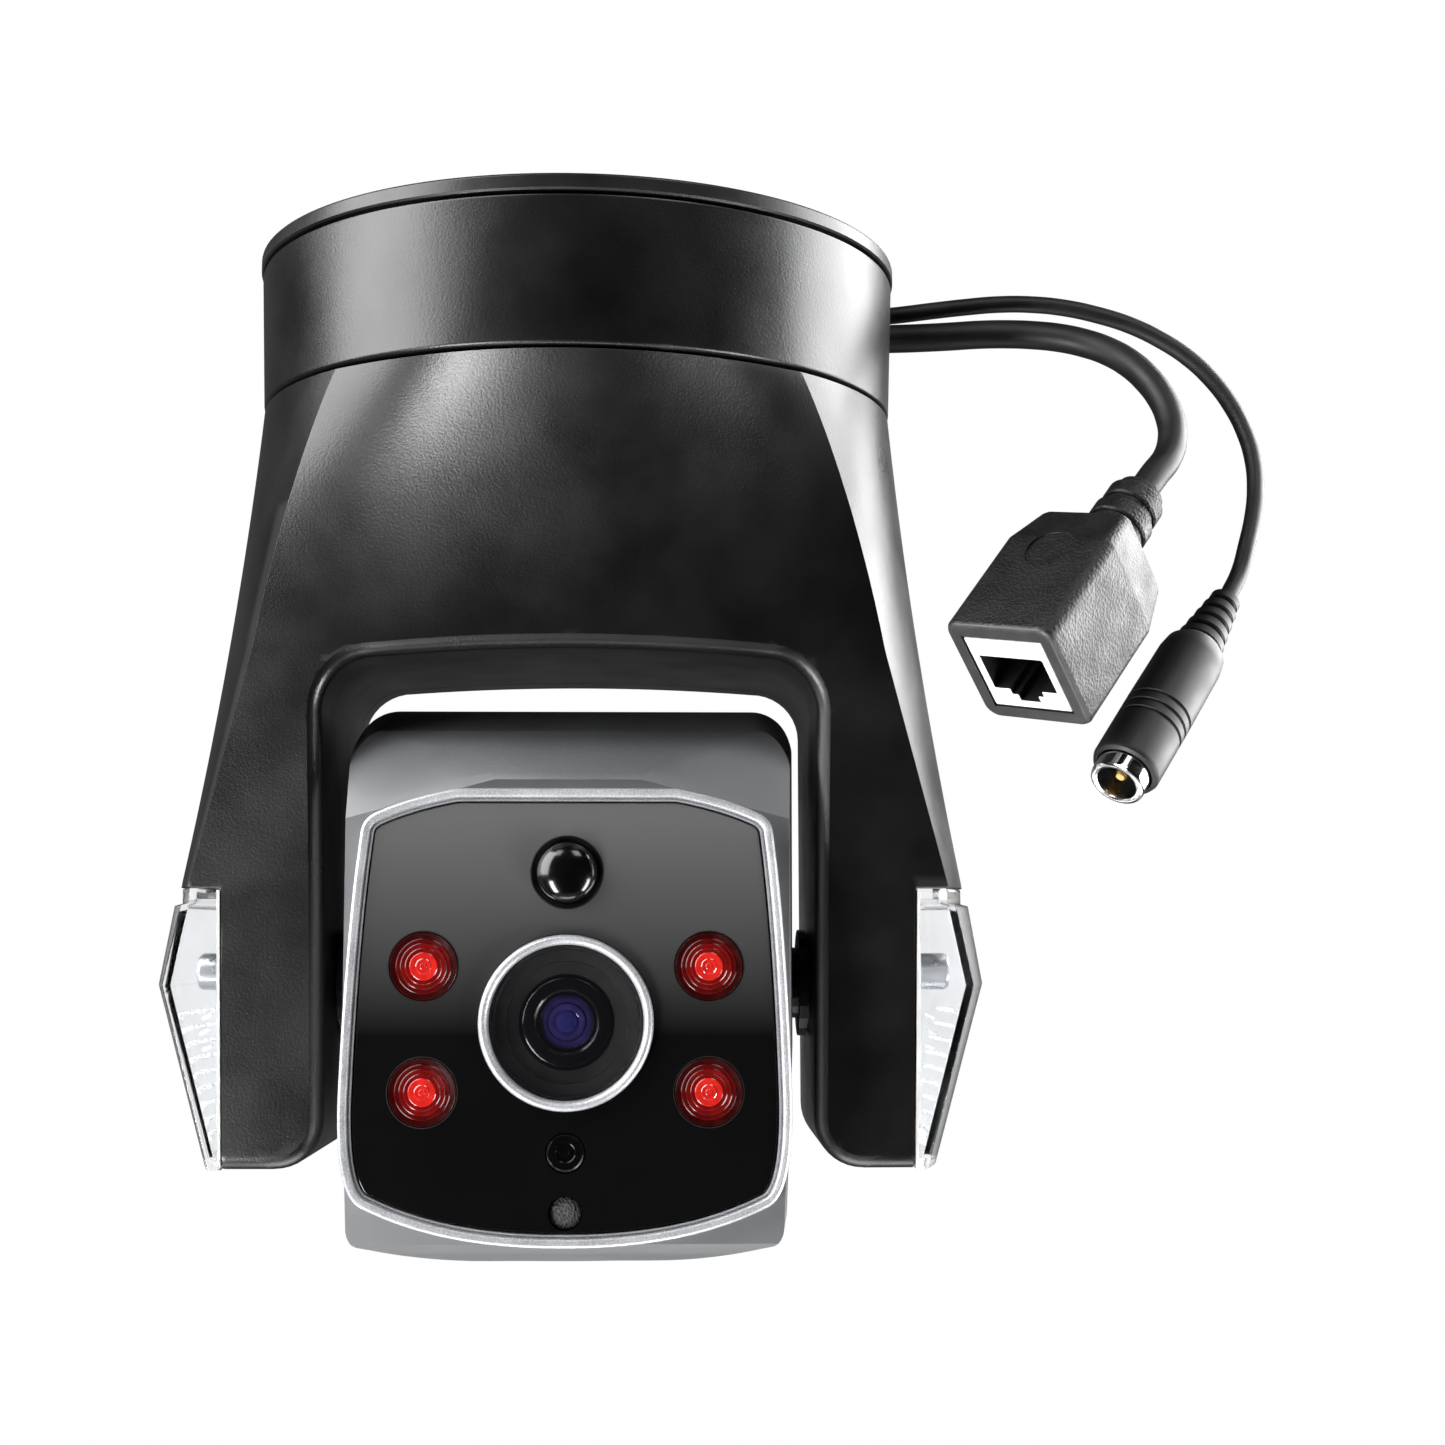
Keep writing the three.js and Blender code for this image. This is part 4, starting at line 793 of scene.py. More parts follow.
# ---------------------------------------------------------------- side lamps
@dataclass
class Lamp:
    """Clear light cover on the outside of one arm, with what shows through it."""

    yoke: Yoke
    side: int = 1
    gap: float = 0.3
    top: float = -107.9
    cap_bottom: float = -110.3
    cap_radius: float = 65.7
    shoulder: float = 66.9
    peak: Flat = (69.2, -123.4)
    foot: float = 61.2
    wall: float = 1.6

    @property
    def word(self) -> str:
        """Name of the side."""
        return "right" if self.side > 0 else "left"

    def radius(self, z: float) -> float:
        """Radius of the cover at a height.

        Args:
            z: Height in millimetres.

        Returns:
            The value in millimetres.
        """
        if z > self.cap_bottom:
            return self.cap_radius
        wide, peak = self.peak
        if z > peak:
            return self.shoulder + (wide - self.shoulder) * (self.cap_bottom - z) / (self.cap_bottom - peak)
        return wide + (self.foot - wide) * (peak - z) / (peak - self.yoke.bottom)

    def loft(self, top: float, bottom: float, wall: float) -> Mesh:
        """The cover's outer or inner form between two heights.

        Args:
            top: Upper height.
            bottom: Lower height.
            wall: How far to move in, in millimetres.

        Returns:
            The piece.
        """
        peak = self.peak[1]
        heights = [top, *[self.cap_bottom + step for step in (0.05, -0.3)],
                   *[self.cap_bottom - 0.3 + (peak + 0.6 - self.cap_bottom + 0.3) * i / 6 for i in range(1,
                                                                                                         7)],
                   peak, *[peak - 0.6 + (bottom - peak + 0.6) * i / 14 for i in range(15)]]
        return skin("cover", [self.yoke.level(z, self.radius(z), wall, 40) for z in heights if z <= top])

    def build(self) -> None:
        """Builds the cover, tray, reflector bar and prisms of this side."""
        inner = self.yoke.arm + self.gap
        half = block("half", (inner, -FAR, -FAR), (FAR, FAR, 0))
        cover = combine(self.loft(self.top, self.yoke.bottom, 0), [half], "INTERSECT")
        half = block("half", (inner - 1, -FAR, -FAR), (FAR, FAR, 0))
        hollow = combine(self.loft(self.top - self.wall, self.yoke.bottom + self.wall, self.wall), [half],
                         "INTERSECT")
        cover = soften(combine(cover, [hollow]), 0.35, 2, 30)
        self._place(cover, f"{self.word}_lamp_cover_clear", CLEAR_COVER, f"{self.word}_lamp_cover")
        self._place(self._tray(inner), f"{self.word}_lamp_tray", WHITE_PLASTIC)
        bar = [(0, inner + 1.6), (2.6, inner + 1.6), (3.1, inner + 2), (3.1, inner + 7.2),
               (2.7, inner + 7.8), (2.1, inner + 7.6),
               (1.6, inner + 5), (0, inner + 5)]
        self._place(turned("bar", bar, "x", (0, 0, self.peak[1] + 1.9)), f"{self.word}_lamp_bar", GREY_METAL,
                    f"{self.word}_lamp_reflector")
        self._place(self._prisms(), f"{self.word}_lamp_prisms", CLEAR_PRISM)

    def _place(self, obj: Mesh, name: str, finish: Finish, *nodes: str) -> None:
        """Names a piece, mirrors it for the left lamp, and finishes it.

        Args:
            obj: The piece.
            name: Name of the piece.
            finish: Finish that dresses the piece.
            nodes: CAD nodes that the piece replaces.
        """
        obj.name = obj.data.name = name
        if self.side < 0:
            obj.data.transform(Matrix.Diagonal((-1, 1, 1, 1)))
            obj.data.flip_normals()
        finish_piece(obj, finish, "yoke", *nodes)

    def _tray(self, inner: float) -> Mesh:
        """Thin pale plate against the arm that backs the lamp.

        Args:
            inner: Place of the arm's face.

        Returns:
            The piece.
        """
        form = self.loft(self.top - 0.3, self.yoke.bottom + 0.3, 0.3)
        plate = combine(form, [block("slab", (inner + 0.05, -FAR, -FAR), (inner + 0.5, FAR, 0))], "INTERSECT")
        window = block("window", (0, -15.5, self.yoke.bottom + 4), (FAR, 15.5, self.top - 4.5))
        return combine(plate, [window])

    def _prisms(self) -> Mesh:
        """Rows of small tilted prisms inside the front and back walls and the sloping wall."""
        wedge = block("wedge", (-0.9, -0.32, -0.3), (0.9, 0.32, 0.3), 0.14, 1)
        copies = []
        for row in range(9):
            z = self.peak[1] - 5 - row * 2.5
            wide = self.radius(z)
            for sign, face in ((-1, self.yoke.front), (1, self.yoke.back)):
                for column in range(4):
                    x = 58.2 + column * 2.35 + 0.5 * (row % 2)
                    if x > wide * 0.93 - 3.2:
                        continue
                    y = sign * (self.yoke.reach(x, z, wide, face, self.wall) - 0.45)
                    tilt = Matrix.Rotation(math.radians(24), 4, "Y")
                    copies.append(copy_of(wedge, "wedge", Matrix.Translation(Vector((x, y, z)) * MM) @ tilt))
            for column in range(-4, 5):
                turn = math.radians(column * 3.1)
                r = wide - self.wall - 0.6
                place = Matrix.Translation(Vector((r * math.cos(turn), r * math.sin(turn), z)) * MM)
                copies.append(copy_of(wedge, "wedge", place @ Matrix.Rotation(turn + math.pi / 2, 4, "Z")))
        choose(wedge)
        for piece in copies:
            piece.select_set(True)
        bpy.ops.object.join()
        return wedge


# ---------------------------------------------------------------- head
@dataclass
class Head:
    """The tilting head: a drum with a chin, its covers and axles."""

    axis: float = TILT_AXIS
    half: float = 36.5
    radius: float = 46.4
    edge: float = 6.5
    wall: float = 2.2
    face: float = -33.0
    face_half: float = 34.9
    draft_end: float = -12.0
    chin: float = -169.1
    chin_front: float = -163.0
    chin_inset: float = 1.0
    corner: float = 3.5
    belly: float = 105.0
    split: float = 14.0
    crease: Flat = (17.3, -92.4)

    def outline(self, wall: float) -> list[Flat]:
        """Front view of the shell, anticlockwise, moved in by a wall.

        Args:
            wall: How far to move in, in millimetres.

        Returns:
            The points, in millimetres.
        """
        half, low = self.half - wall, self.chin + wall
        foot = half - self.chin_inset
        flat = foot - self.corner
        under = [(flat * i / 16, low + self._sag(flat * i / 16)) for i in range(17)]
        side = arc(flat, low + self._sag(flat) + self.corner, self.corner, -60, 0, 8)
        right = [*under[1:], *side, (half - 0.4, -146), (half, self.axis - 10), (half, -95), (half, -60)]
        return [under[0], *right, *mirrored(right)]

    def _sag(self, x: float) -> float:
        """How far the curved chin has risen at a distance from the middle."""
        return self.belly - math.sqrt(self.belly ** 2 - x * x)

    def solid(self, wall: float) -> Mesh:
        """The outer or inner form of the shell.

        Args:
            wall: How far to move in, in millimetres.

        Returns:
            The piece.
        """
        half, r, edge = self.half - wall, self.radius - wall, self.edge - wall
        rim = [(y, x) for x, y in arc(half - edge, r - edge, edge, 90, 0, 12)]
        profile = [(0, -half), *[(y, -x) for y, x in rim[::-1]], *rim, (0, half)]
        drum = turned("head_form", profile, "x", (0, 0, self.axis), 176)
        front, low, foot = self.face + wall, self.chin + wall, half - self.chin_inset
        lift = self.chin_front - self.chin
        curve = [(front * i / 14, low + lift * (i / 14) ** 2.3) for i in range(15)]
        section = [*curve, (front, self.axis), (0, self.axis)]
        rings = [[(x, y, z) for y, z in section] for x in (-foot, foot)]
        combine(drum, [skin("chin", rings)], "UNION")
        narrow = (self.face_half - wall) / half
        frames = [(-FAR, narrow), (self.face, narrow), (self.draft_end, 1.0), (FAR, 1.0)]
        draft = skin("draft", [[(x * share, y, z) for x, z in self.outline(wall)] for y, share in frames])
        combine(drum, [draft], "INTERSECT")
        combine(drum, [block("cut", (-FAR, -FAR, -FAR), (FAR, front, 0)), *self._facets(wall)])
        return drum

    def _facets(self, wall: float) -> list[Mesh]:
        """Cutters of the two facets that meet the bezel's sloping top corners.

        Args:
            wall: How far to move in, in millimetres.

        Returns:
            The pieces.
        """
        cutters = []
        for side in (-1, 1):
            normal = Vector((side * 0.17, -0.745, 0.643)).normalized()
            cutter = block("facet", (-45, -45, 0), (45, 45, 30))
            place = Vector((side * self.crease[0], self.face, self.crease[1])) * MM - normal * wall * MM
            cutter.data.transform(Matrix.Translation(place) @ normal.to_track_quat("Z",
                                                                                   "Y").to_matrix().to_4x4())
            cutters.append(cutter)
        return cutters

    def build(self, mouth: list[Flat]) -> None:
        """Builds the shell and the rear cover.

        Args:
            mouth: Outline of the opening behind the bezel.
        """
        body = combine(self.solid(0), [self.solid(self.wall)])
        opening = skin("mouth", [upright(mouth, -60), upright(mouth, self.face + self.wall + 6)])
        bores = rod("bores", "x", 6.4, -50, 50, (0, 0, self.axis))
        combine(body, [opening, bores])
        rear = copy_of(body, "head_back", Matrix.Identity(4))
        body.name = body.data.name = "head_front"
        combine(body, [block("cut", (-FAR, self.split - 0.15, -FAR), (FAR, FAR, 0))])
        combine(rear, [block("cut", (-FAR, -FAR, -FAR), (FAR, self.split + 0.15, 0))])
        finish_piece(soften(body, 0.3, 2, 24), SATIN_PAINT, "head", "head_shell", smooth=28)
        finish_piece(soften(rear, 0.3, 2, 24), SATIN_PAINT, "head", "head_rear_cover", smooth=28)


@dataclass
class Face:
    """Everything on the head's front: bezel, glass, lens, lights and sensors."""

    axis: float = TILT_AXIS
    back: float = -33.2
    lens_z: float = -128.9
    ring: float = 13.65
    pir_z: float = -105.6
    ir_x: float = 22.2
    ir_z: tuple[float, float] = (-120.2, -139.6)
    sensor_z: float = -148.9
    mic_z: float = -158.1

    def outline(self) -> list[Flat]:
        """The bezel's outline seen from the front, anticlockwise."""
        turns = [((17.3, 31.1), (25.2, 29.6), (30.2, 27.2)), ((30.2, 27.2), (32.1, 26.1), (32.3, 24.1)),
                 ((32.3, 24.1), (34.4, 8.5), (35.2, -17)), ((35.2, -17), (35.5, -31.5), (31.6, -33.6)),
                 ((31.6, -33.6), (19, -40), (0, -39.9))]
        right: list[Flat] = [(17.3 * i / 6, 31.1) for i in range(7)]
        for start, pull, end in turns:
            for i in range(1, 13):
                t = i / 12
                right.append(tuple((1 - t) ** 2 * a + 2 * t * (1 - t) * b + t * t * c
                                   for a, b, c in zip(start, pull, end)))
        right = [(x, z + self.axis) for x, z in reversed(right)]
        return [*right, *mirrored(right[1:-1])]

    def rings(self, steps: Sequence[Flat]) -> list[Ring]:
        """Rings of the bezel's outline at (moved in, depth) steps."""
        outline = self.outline()
        return [upright(inset(outline, distance), y) for distance, y in steps]

    def build(self) -> None:
        """Builds and dresses the face."""
        self._bezel()
        self._glass()
        self._lens()
        self._lights()
        self._sensors()

    def _bezel(self) -> None:
        """Silver frame with a rounded front and a fine inner step."""
        steps = [(0.05, self.back), (0.05, -35.1), (0.18, -35.55), (0.5, -35.8), (1.1, -35.8), (1.4, -35.6),
                 (1.5, -35.25),
                 (1.5, -34.7), (1.62, -34.7), (1.85, -35.0), (2.0, -35.0), (2.08, -34.8), (2.08, self.back),
                 (0.05, self.back)]
        finish_piece(skin("bezel_frame", self.rings(steps), caps=False), SPARKLE_SILVER, "head", "bezel")

    def _glass(self) -> None:
        """Dark front glass with its holes."""
        steps = [(2.35, -33.4), (2.35, -34.8), (2.45, -34.95), (2.65, -35.0)]
        glass = skin("front_panel", self.rings(steps))
        holes = [(self.ring + 0.12, 0, self.lens_z), (5.75, 0, self.pir_z), (3.15, 0, self.sensor_z),
                 (2.65, 0, self.mic_z)]
        holes += [(5.55, x, z) for x in (-self.ir_x, self.ir_x) for z in self.ir_z]
        combine(glass, [rod("hole", "y", r, -60, 0, (x, 0, z), 72) for r, x, z in holes])
        finish_piece(soften(glass, 0.12, 2, 40), SMOKED_GLASS, "head", "faceplate")

    def _lens(self) -> None:
        """Silver ring, flat window, dark cone, barrel and coated lens."""
        at = (0, 0, self.lens_z)
        ring = [(12.05, -35.3), (12.15, -36.0), (12.45, -36.4), (12.9, -36.55), (13.25, -36.45),
                (13.5, -36.15),
                (13.62, -35.7), (13.62, -32.6), (12.05, -32.6), (12.05, -35.3)]
        finish_piece(turned("lens_rim", ring, "y", at, 128), SPARKLE_SILVER, "head", "lens_ring")
        pane = [(0, -35.6), (11.5, -35.6), (11.75, -35.4), (11.75, -34.8), (0, -34.8)]
        finish_piece(turned("lens_pane", pane, "y", at, 96), FRONT_GLASS, "head", "lens_window")
        cone = [(11.9, -34.6), (11.4, -34.6), (11.2, -33.9), (9.6, -33.7), (9.4, -33.1), (7.5, -32.9),
                (7.4, -31.4),
                (11.9, -31.4), (11.9, -34.6)]
        finish_piece(turned("lens_cone", cone, "y", at, 96), MATT_BLACK, "head")
        barrel = [(4.75, -33.3), (5.1, -33.6), (6.5, -33.6), (6.9, -33.35), (7, -33), (7, -30.6), (6, -30.6),
                  (6, -17.4),
                  (2.6, -17.4), (2.6, -28), (4.75, -28.6), (4.75, -33.3)]
        finish_piece(turned("lens_tube", barrel, "y", at, 96), PIR_BLACK, "head", "lens_barrel")
        dome = [(radius, -32.9 + 0.055 * radius * radius) for radius in (0, 0.6, 1.2, 1.55)]
        bands = [(1.75, -32.35), (2.3, -32.65), (2.85, -32.55), (3.0, -32.2), (3.5, -32.35), (4.1, -32.1),
                 (4.5, -31.7),
                 (4.6, -29.1), (0, -29.1)]
        lens = turned("lens_front", [*dome, *bands], "y", at, 96)

        def band(middle: Vector) -> int:
            """Which finish a face of the lens has: core, coating or the dark ring."""
            away = math.hypot(middle.x, middle.z - self.lens_z)
            if away < 1.6:
                return 0
            return 2 if 2.8 < away < 3.1 else 1

        banded(lens, [COATED_CORE, COATED_GLASS, PIR_BLACK], band)
        finish_piece(lens, COATED_GLASS, "head", "lens_element", smooth=50)

    def _lights(self) -> None:
        """Four red infrared windows with stepped rings."""
        ridges = [(0, -35.2), (0.45, -35.25), (0.55, -35.12), (1.1, -35.2), (1.25, -35.1), (2.05, -35.15),
                  (2.2, -34.95),
                  (2.75, -35.0), (2.9, -34.85), (3.5, -34.95), (3.65, -34.8), (4.2, -34.9), (4.35,
                                                                                             -34.75),
                  (5.15, -34.95),
                  (5.4, -34.75), (5.4, -33.4), (3.4, -29.6), (0, -29.6)]
        places = [(x, z) for z in self.ir_z for x in (-self.ir_x, self.ir_x)]
        limits = (2.15, 3.2, 4.3)
        for number, (x, z) in enumerate(places, 1):
            window = turned(f"ir_window_{number}", ridges, "y", (x, 0, z), 64)
            banded(window, [RED_CORE, RED_GLASS, RED_MIDDLE, RED_RIM],
                   lambda middle: sum(math.hypot(middle.x - x, middle.z - z) > limit for limit in limits))
            finish_piece(window, RED_GLASS, "head", f"ir_lens_{number}", smooth=30)
            seat = [(5.42, -35.02), (5.53, -35.02), (5.53, -33.5), (5.42, -33.5), (5.42, -35.02)]
            finish_piece(turned(f"ir_seat_{number}", seat, "y", (x, 0, z), 64), MATT_BLACK, "head")

    def _sensors(self) -> None:
        """Motion dome in its ring, light sensor with two tiny chips, microphone."""
        at = (0, 0, self.pir_z)
        dome = [(x, -35.1 - 0.62 * y) for x, y in arc(0, 0, 4.85, 90, 0, 14)]
        finish_piece(turned("motion_dome", [*dome, (4.85, -33.1), (0, -33.1)], "y", at, 80), PIR_BLACK,
                     "head", "pir_lens")
        seat = [(4.95, -34.5), (5.3, -34.7), (5.6, -35.15), (5.7, -35.0), (5.7, -33.3), (4.95, -33.3),
                (4.95, -34.5)]
        finish_piece(turned("motion_seat", seat, "y", at, 80), MATT_BLACK, "head")
        at = (0, 0, self.sensor_z)
        dish = [(0, -34.1), (1.4, -34.15), (1.6, -34.5), (2.6, -34.6), (2.85, -34.85), (3.05, -34.8),
                (3.1, -33.3), (0, -33.3)]
        finish_piece(turned("light_eye", dish, "y", at, 56), PIR_BLACK, "head", "light_sensor")
        bead = [(0, -34.45), (0.2, -34.4), (0.28, -34.2), (0.28, -34.0), (0, -34.0)]
        for number, (x, z) in enumerate(((-0.75, 0.2), (0.75, -0.1)), 1):
            finish_piece(turned(f"light_chip_{number}", bead, "y", (x, 0, self.sensor_z + z), 20), CHROME,
                         "head")
        foam = [(0, -34.35), (1.2, -34.4), (2.1, -34.3), (2.45, -34.0), (2.55, -33.2), (0, -33.2)]
        finish_piece(turned("microphone_foam", foam, "y", (0, 0, self.mic_z), 48), FOAM, "head", "microphone")


# ---------------------------------------------------------------- pigtails and connectors
@dataclass
class Connector:
    """Place of a connector: its own +Y runs rearwards from the middle of its front face."""

    end: Point
    rear: Point
    hint: Point
    length: float
    gap: float = 0.3

    def matrix(self) -> Matrix:
        """Turns and moves the connector's own frame to where it hangs."""
        back = Vector(self.rear).normalized()
        width = Vector(self.hint)
        width = (width - back * width.dot(back)).normalized()
        turn = Matrix((width, back, width.cross(back))).transposed().to_4x4()
        return Matrix.Translation((Vector(self.end) - back * (self.length + self.gap)) * MM) @ turn

    def place(self, obj: Mesh, finish: Finish, *nodes: str, smooth: float = 35) -> Mesh:
        """Puts a piece made in the connector's own frame in place and finishes it."""
        obj.data.transform(self.matrix())
        return finish_piece(obj, finish, "base", *nodes, smooth=smooth)


def ribs(count: int, start: float, length: float, radius: float, narrowing: float) -> list[Flat]:
    """Profile of a strain relief's rounded ribs, from front to rear.

    Args:
        count: Number of ribs.
        start: Angle or place of the start.
        length: Length in millimetres.
        radius: Radius in millimetres.
        narrowing: How much each rib is smaller than the last.

    Returns:
        The points, in millimetres.
    """
    step, points = length / count, []
    for i in range(count):
        low, r = start + i * step, radius - i * narrowing
        points += [(r - 0.3, low), (r, low + 0.3), (r, low + step * 0.6), (r - 0.25, low + step * 0.66),
                   (r - 0.9, low + step * 0.68), (r - 0.9, low + step)]
    return points


@dataclass
class NetworkSocket(Connector):
    """Network socket on the thick pigtail."""

    width: float = 20.2
    height: float = 20.6
    body: float = 29.5
    corner: float = 2.3
    taper: float = 1.9
    taper_from: float = 21.0
    insert: float = 14.6
    depth: float = 15.0
    relief: float = 13.8

    def frame_ring(self, y: float, less: float) -> Ring:
        """Rounded square across the housing, smaller by so much on each side.

        Args:
            y: Place along or up.
            less: How much smaller on each side.

        Returns:
            The ring.
        """
        w, h = self.width / 2 - self.corner, self.height / 2 - self.corner
        r = self.corner
        corners = [*arc(w, -h, r, -90, 0, 6), *arc(w, h, r, 0, 90, 6), *arc(-w, h, r, 90, 180, 6),
                   *arc(-w, -h, r, 180, 270, 6)]
        share_x, share_z = 1 - less / (self.width / 2), 1 - less / (self.height / 2)
        return [(x * share_x, y, z * share_z) for x, z in corners]

    def build(self) -> list[Mesh]:
        """Builds the housing, the white insert and the ribbed relief."""
        steps = [(0, 0.9), (0.1, 0.55), (0.35, 0.2), (0.8, 0.0), *[(y, 0.0) for y in (6, 12, 18)],
                 (self.taper_from, 0.0),
                 (self.taper_from + 0.5, 0.12), (self.body - 1, self.taper - 0.3), (self.body - 0.3,
                                                                                    self.taper),
                 (self.body, self.taper + 0.6)]
        shell = skin("socket_housing", [self.frame_ring(y, less) for y, less in steps])
        half = self.insert / 2 + 0.3
        combine(shell, [block("cavity", (-half, -1, -half), (half, self.depth + 0.3, half)),
                        rod("recess", "z", 4.2, self.height / 2 - 0.5, 20, (0, self.taper_from - 2.5, 0))])
        banded(soften(shell, 0.25, 2, 40), [SPECKLED_BLACK, RIM_GREY],
               lambda middle: 1 if middle.y < 0.5 else 0)
        self.place(shell, SPECKLED_BLACK, "rj45_housing")
        half = self.insert / 2
        white = block("socket_insert", (-half, 0.1, -half), (half, self.depth, half), 0.3)
        mouth = [(5.95, -3.5), (5.95, 3.5), (-5.95, 3.5), (-5.95, -3.5), (-3, -3.5), (-3, -4.6),
                 (-1.9, -4.6), (-1.9, -5.9),
                  (1.9, -5.9), (1.9, -4.6), (3, -4.6), (3, -3.5)]
        combine(white, [skin("socket", [upright(mouth, -1), upright(mouth, 13)])])
        banded(soften(white, 0.15, 1, 50), [WHITE_PLASTIC, MATT_BLACK],
               lambda middle: 1 if 0.5 < middle.y < 13.2
               and abs(middle.x) < 6.4 and -6.4 < middle.z < 4.2 else 0)
        insert = self.place(white, WHITE_PLASTIC, "rj45_insert")
        start = self.body + CORD_GAP
        collar = turned("socket_relief",
                        [(0, start), *ribs(3, start, self.relief, 5.6, 0.35), (0, start + self.relief)], "y")
        relief = self.place(collar, SPECKLED_BLACK, "rj45_strain_relief")
        return [shell, insert, relief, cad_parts["rj45_contacts"]]


@dataclass
class PowerSocket(Connector):
    """Round power socket on the thin pigtail."""

    body: float = 33.5
    radius: float = 5.65
    relief: float = 13.2
    bore: float = 4.8

    def build(self) -> list[Mesh]:
        """Builds the moulded body, the chrome barrel and the pin."""
        r, end = self.radius, self.body
        grooves = [point for y in (12, 14, 16) for point in ((r, y), (r - 0.3, y + 0.2), (r - 0.3, y + 0.55),
                                                             (r, y + 0.75))]
        slits = ribs(5, end, self.relief, 4, 0.35)
        profile = [(self.bore, 3), (r - 0.9, 3), (r - 0.3, 3.3), (r, 4), *grooves, (r - 0.15, end - 4),
                   (r - 0.5, end - 1.6),
                   (r - 1.4, end - 0.4), *slits, (0, end + self.relief), (0, 15), (self.bore,
                                                                                   15), (self.bore, 3)]
        body = self.place(turned("power_body", profile, "y"), CORD_BLACK, "dc_jack_body")
        tube = [(3.2, 0.6), (3.35, 0.15), (3.7, 0), (4.1, 0), (4.4, 0.2), (4.5, 0.6), (4.5, 14.5), (0, 14.5),
                (0, 13.3), (3.2, 13.3),
                (3.2, 0.6)]
        barrel = self.place(turned("power_barrel", tube, "y", steps=80), CHROME, "dc_jack_barrel")
        return [body, barrel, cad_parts["dc_jack_pin"]]


def pigtail(name: str, route: Sequence[Point], diameter: float, node: str) -> Mesh:
    """A round cord along a route, as one curve.

    Args:
        name: Name of the piece.
        route: Points of the route, in millimetres.
        diameter: Diameter in millimetres.
        node: CAD node that it replaces.

    Returns:
        The piece.
    """
    curve = bpy.data.curves.new(name, "CURVE")
    curve.dimensions, curve.bevel_depth, curve.bevel_resolution = "3D", diameter / 2 * MM, 8
    curve.resolution_u = 10
    curve.use_fill_caps = True
    spline = curve.splines.new("BEZIER")
    spline.bezier_points.add(len(route) - 1)
    for point, place in zip(spline.bezier_points, route, strict=True):
        point.co = Vector(place) * MM
        point.handle_left_type = point.handle_right_type = "AUTO"
    cord = bpy.data.objects.new(name, curve)
    bpy.context.scene.collection.objects.link(cord)
    curve.materials.append(CORD_BLACK.material())
    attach(cord, "base")
    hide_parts(node)
    return cord


def cables() -> None:
    """Both pigtails with their connectors, each set back from its cord's end by its length."""
    network = NetworkSocket(ETHERNET_ROUTE[-1], (0.541, 0.4, 0.74), (0.716, -0.681, -0.155),
                            NetworkSocket.body + CORD_GAP + NetworkSocket.relief)
    power = PowerSocket(POWER_ROUTE[-1], (0.515, 0.476, 0.713), (1, 0, 0),
                        PowerSocket.body + PowerSocket.relief)
    thick = pigtail("network_cord", ETHERNET_ROUTE, 5, "ethernet_cord")
    thin = pigtail("power_lead", POWER_ROUTE, 3, "power_cord")
    network.build()
    power.build()


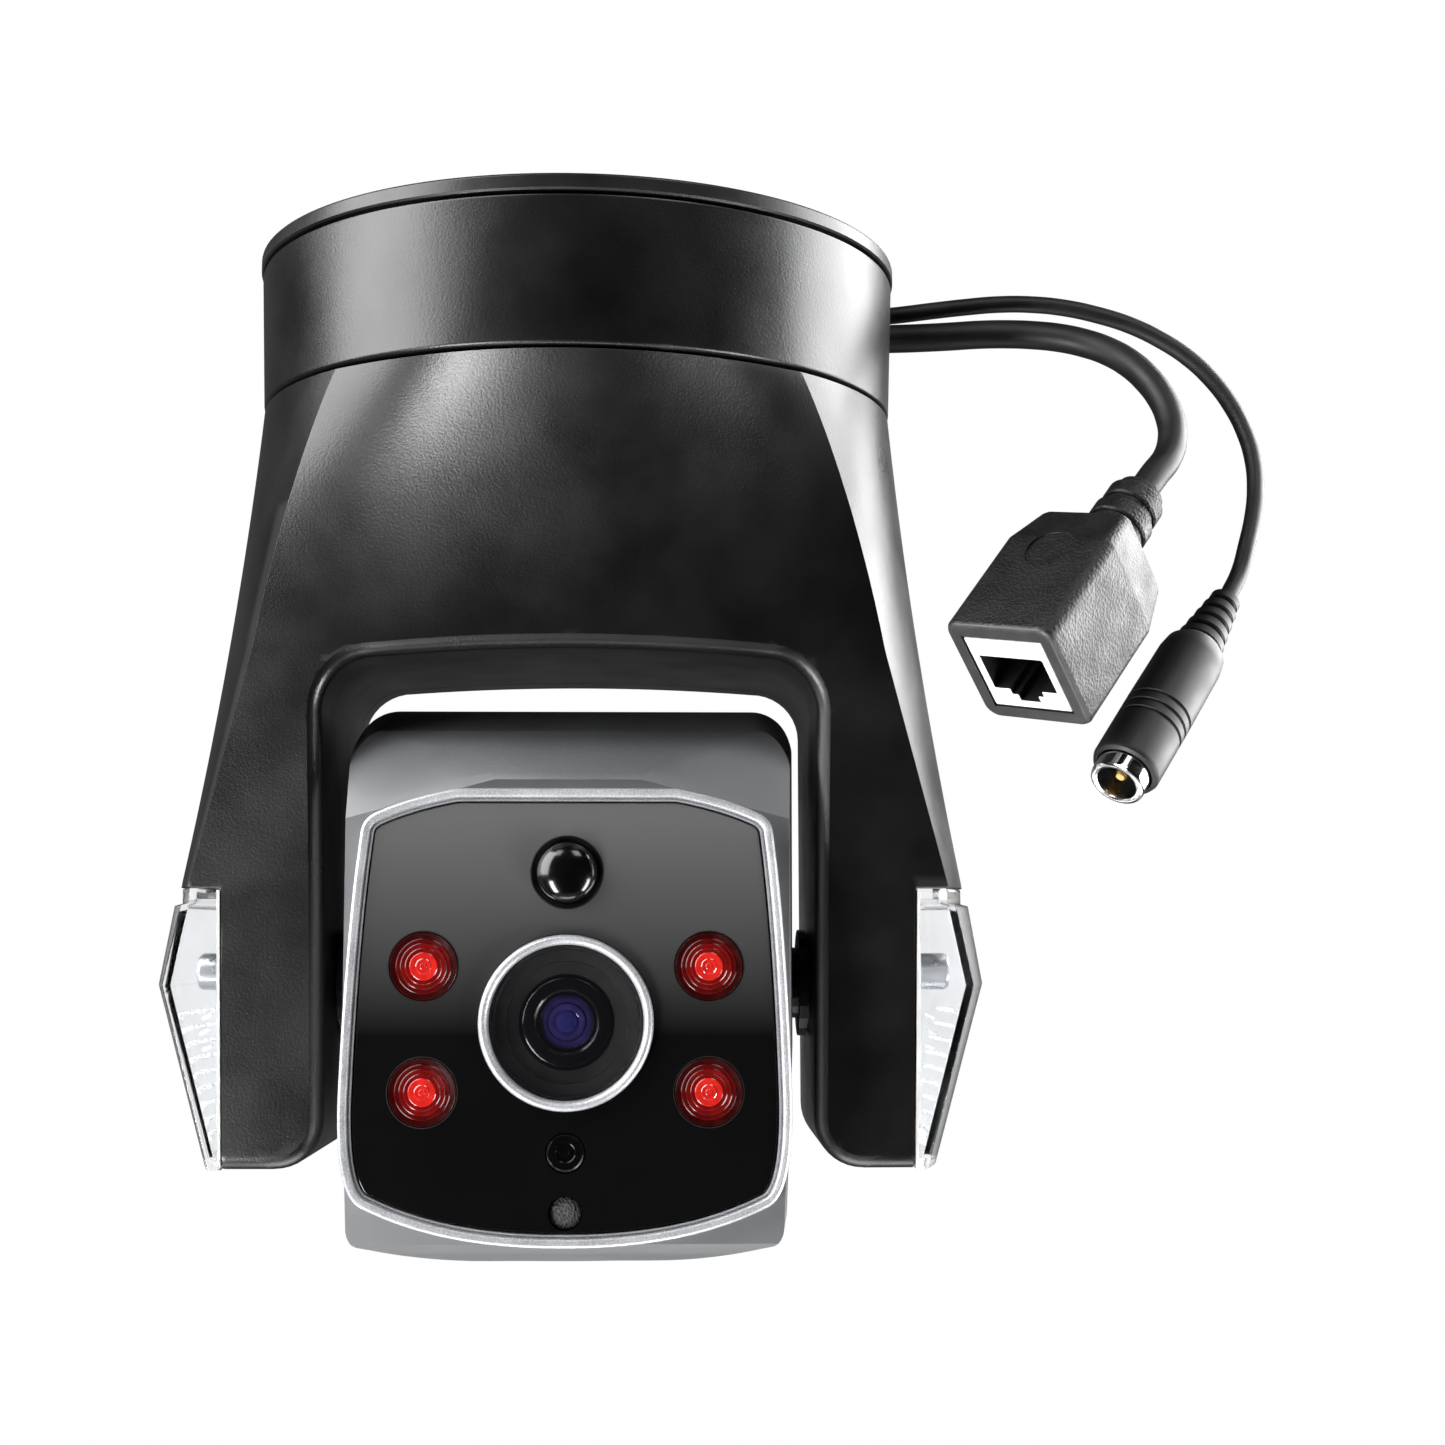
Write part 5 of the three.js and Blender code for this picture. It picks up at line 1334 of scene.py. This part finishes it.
# ---------------------------------------------------------------- studio
@dataclass
class Studio:
    """Camera, surroundings, lights and floor."""

    focal: float = 2200.0
    frame_width: float = 1445.0
    camera_place: Point = (15.5, -380.0, -115.0)
    camera_turn: Point = (math.pi / 2 + 0.0953, 0.0, -0.0255)
    floor_z: float = -1.3
    lights: tuple = (
        ("left_softbox", (-0.47, -0.2, 0.12), (0.4, 0.6), 8.0), ("right_softbox", (0.48, 0.12, 0.06),
                                                                 (0.4, 0.5), 8.0),
        ("left_low", (-0.34, -0.36, -0.46), (0.12, 0.34), 5.0), ("right_low", (0.42, -0.2, -0.38),
                                                                 (0.12, 0.3), 3.0),
        ("under_softbox", (0.0, 0.0, -0.62), (0.3, 0.24), 1.5),
        ("left_top", (-0.24, -0.34, 0.42), (0.2, 0.2), 0.8), ("right_top", (0.24, -0.34, 0.42), (0.2, 0.2),
                                                              0.8))

    def camera(self) -> None:
        """Places the camera."""
        data = bpy.data.cameras.new("camera")
        camera = bpy.data.objects.new("camera", data)
        bpy.context.scene.collection.objects.link(camera)
        data.lens = data.sensor_width * self.focal / self.frame_width
        camera.location = Vector(self.camera_place) * MM
        camera.rotation_euler = self.camera_turn
        bpy.context.scene.camera = camera
        bpy.context.scene.view_settings.view_transform = "Standard"

    def surroundings(self) -> None:
        """White behind and below, darker in front, so that the black parts stay dark."""
        world = bpy.data.worlds.new("studio")
        bpy.context.scene.world = world
        world.use_nodes = True
        nodes, links = world.node_tree.nodes, world.node_tree.links
        axes = nodes.new("ShaderNodeSeparateXYZ")
        links.new(nodes.new("ShaderNodeTexCoord").outputs["Generated"], axes.inputs[0])

        def rise(axis: str, low: float, high: float, bright: float = 1.0) -> bpy.types.NodeSocket:
            """Brightness that rises between two values of a direction's share along an axis."""
            ramp = nodes.new("ShaderNodeMapRange")
            ramp.interpolation_type = "SMOOTHSTEP"
            ramp.inputs["From Min"].default_value, ramp.inputs["From Max"].default_value = low, high
            ramp.inputs["To Min"].default_value, ramp.inputs["To Max"].default_value = 0.0, bright
            links.new(axes.outputs[axis], ramp.inputs["Value"])
            return ramp.outputs["Result"]

        def both(kind: str, first: bpy.types.NodeSocket,
                 second: bpy.types.NodeSocket) -> bpy.types.NodeSocket:
            """Two values added, multiplied or compared."""
            math_node = nodes.new("ShaderNodeMath")
            math_node.operation = kind
            links.new(first, math_node.inputs[0])
            links.new(second, math_node.inputs[1])
            return math_node.outputs[0]

        total = both("ADD", rise("Y", 0.3, 0.9, 0.1), rise("Z", -0.85, -0.98, 0.8))
        around = nodes["Background"]
        links.new(total, around.inputs["Strength"])
        around.inputs["Color"].default_value = (1, 1, 1, 1)
        plain = nodes.new("ShaderNodeBackground")
        plain.inputs["Color"].default_value = (1, 1, 1, 1)
        choice = nodes.new("ShaderNodeMixShader")
        path = nodes.new("ShaderNodeLightPath")
        seen = both("MAXIMUM", path.outputs["Is Camera Ray"], path.outputs["Is Transmission Ray"])
        links.new(seen, choice.inputs[0])
        links.new(around.outputs[0], choice.inputs[1])
        links.new(plain.outputs[0], choice.inputs[2])
        links.new(choice.outputs[0], nodes["World Output"].inputs["Surface"])

    def softboxes(self) -> None:
        """Large soft lights aimed at the part."""
        aim = Vector((0, 0, -0.1))
        for name, place, size, power in self.lights:
            data = bpy.data.lights.new(name, "AREA")
            data.shape, data.energy = "RECTANGLE", power
            data.size, data.size_y = size
            light = bpy.data.objects.new(name, data)
            bpy.context.scene.collection.objects.link(light)
            light.location = place
            light.rotation_euler = (Vector(place) - aim).to_track_quat("Z", "Y").to_euler()

    def floor(self) -> None:
        """A plain pale floor below the hanging part."""
        bpy.ops.object.select_all(action="DESELECT")
        bpy.ops.mesh.primitive_plane_add(size=1.4, location=(0, 0, self.floor_z))
        floor = bpy.context.object
        floor.name = "floor"
        pale = bpy.data.materials.new("pale_floor")
        pale.use_nodes = True
        pale.node_tree.nodes["Principled BSDF"].inputs["Base Color"].default_value = (0.85, 0.85, 0.85, 1)
        floor.data.materials.append(pale)

    def build(self) -> None:
        """Sets up the whole studio."""
        self.camera()
        self.surroundings()
        self.softboxes()
        self.floor()


def dress_carried_nodes() -> None:
    """Gives every CAD node that stays its finish."""
    for finish, names in CARRIED.items():
        for name in names:
            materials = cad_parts[name].data.materials
            materials.clear()
            materials.append(finish.material())


def main() -> None:
    """Builds the camera, light and pieces in order."""
    logging.basicConfig(level=logging.INFO, format="%(message)s")
    Studio().build()
    cables()
    Base().build()
    yoke = Yoke()
    yoke.build()
    for side in (1, -1):
        Lamp(yoke, side).build()
    face = Face()
    Head().build(inset(face.outline(), 2.2))
    face.build()
    dress_carried_nodes()


if __name__ == "__main__":
    main()
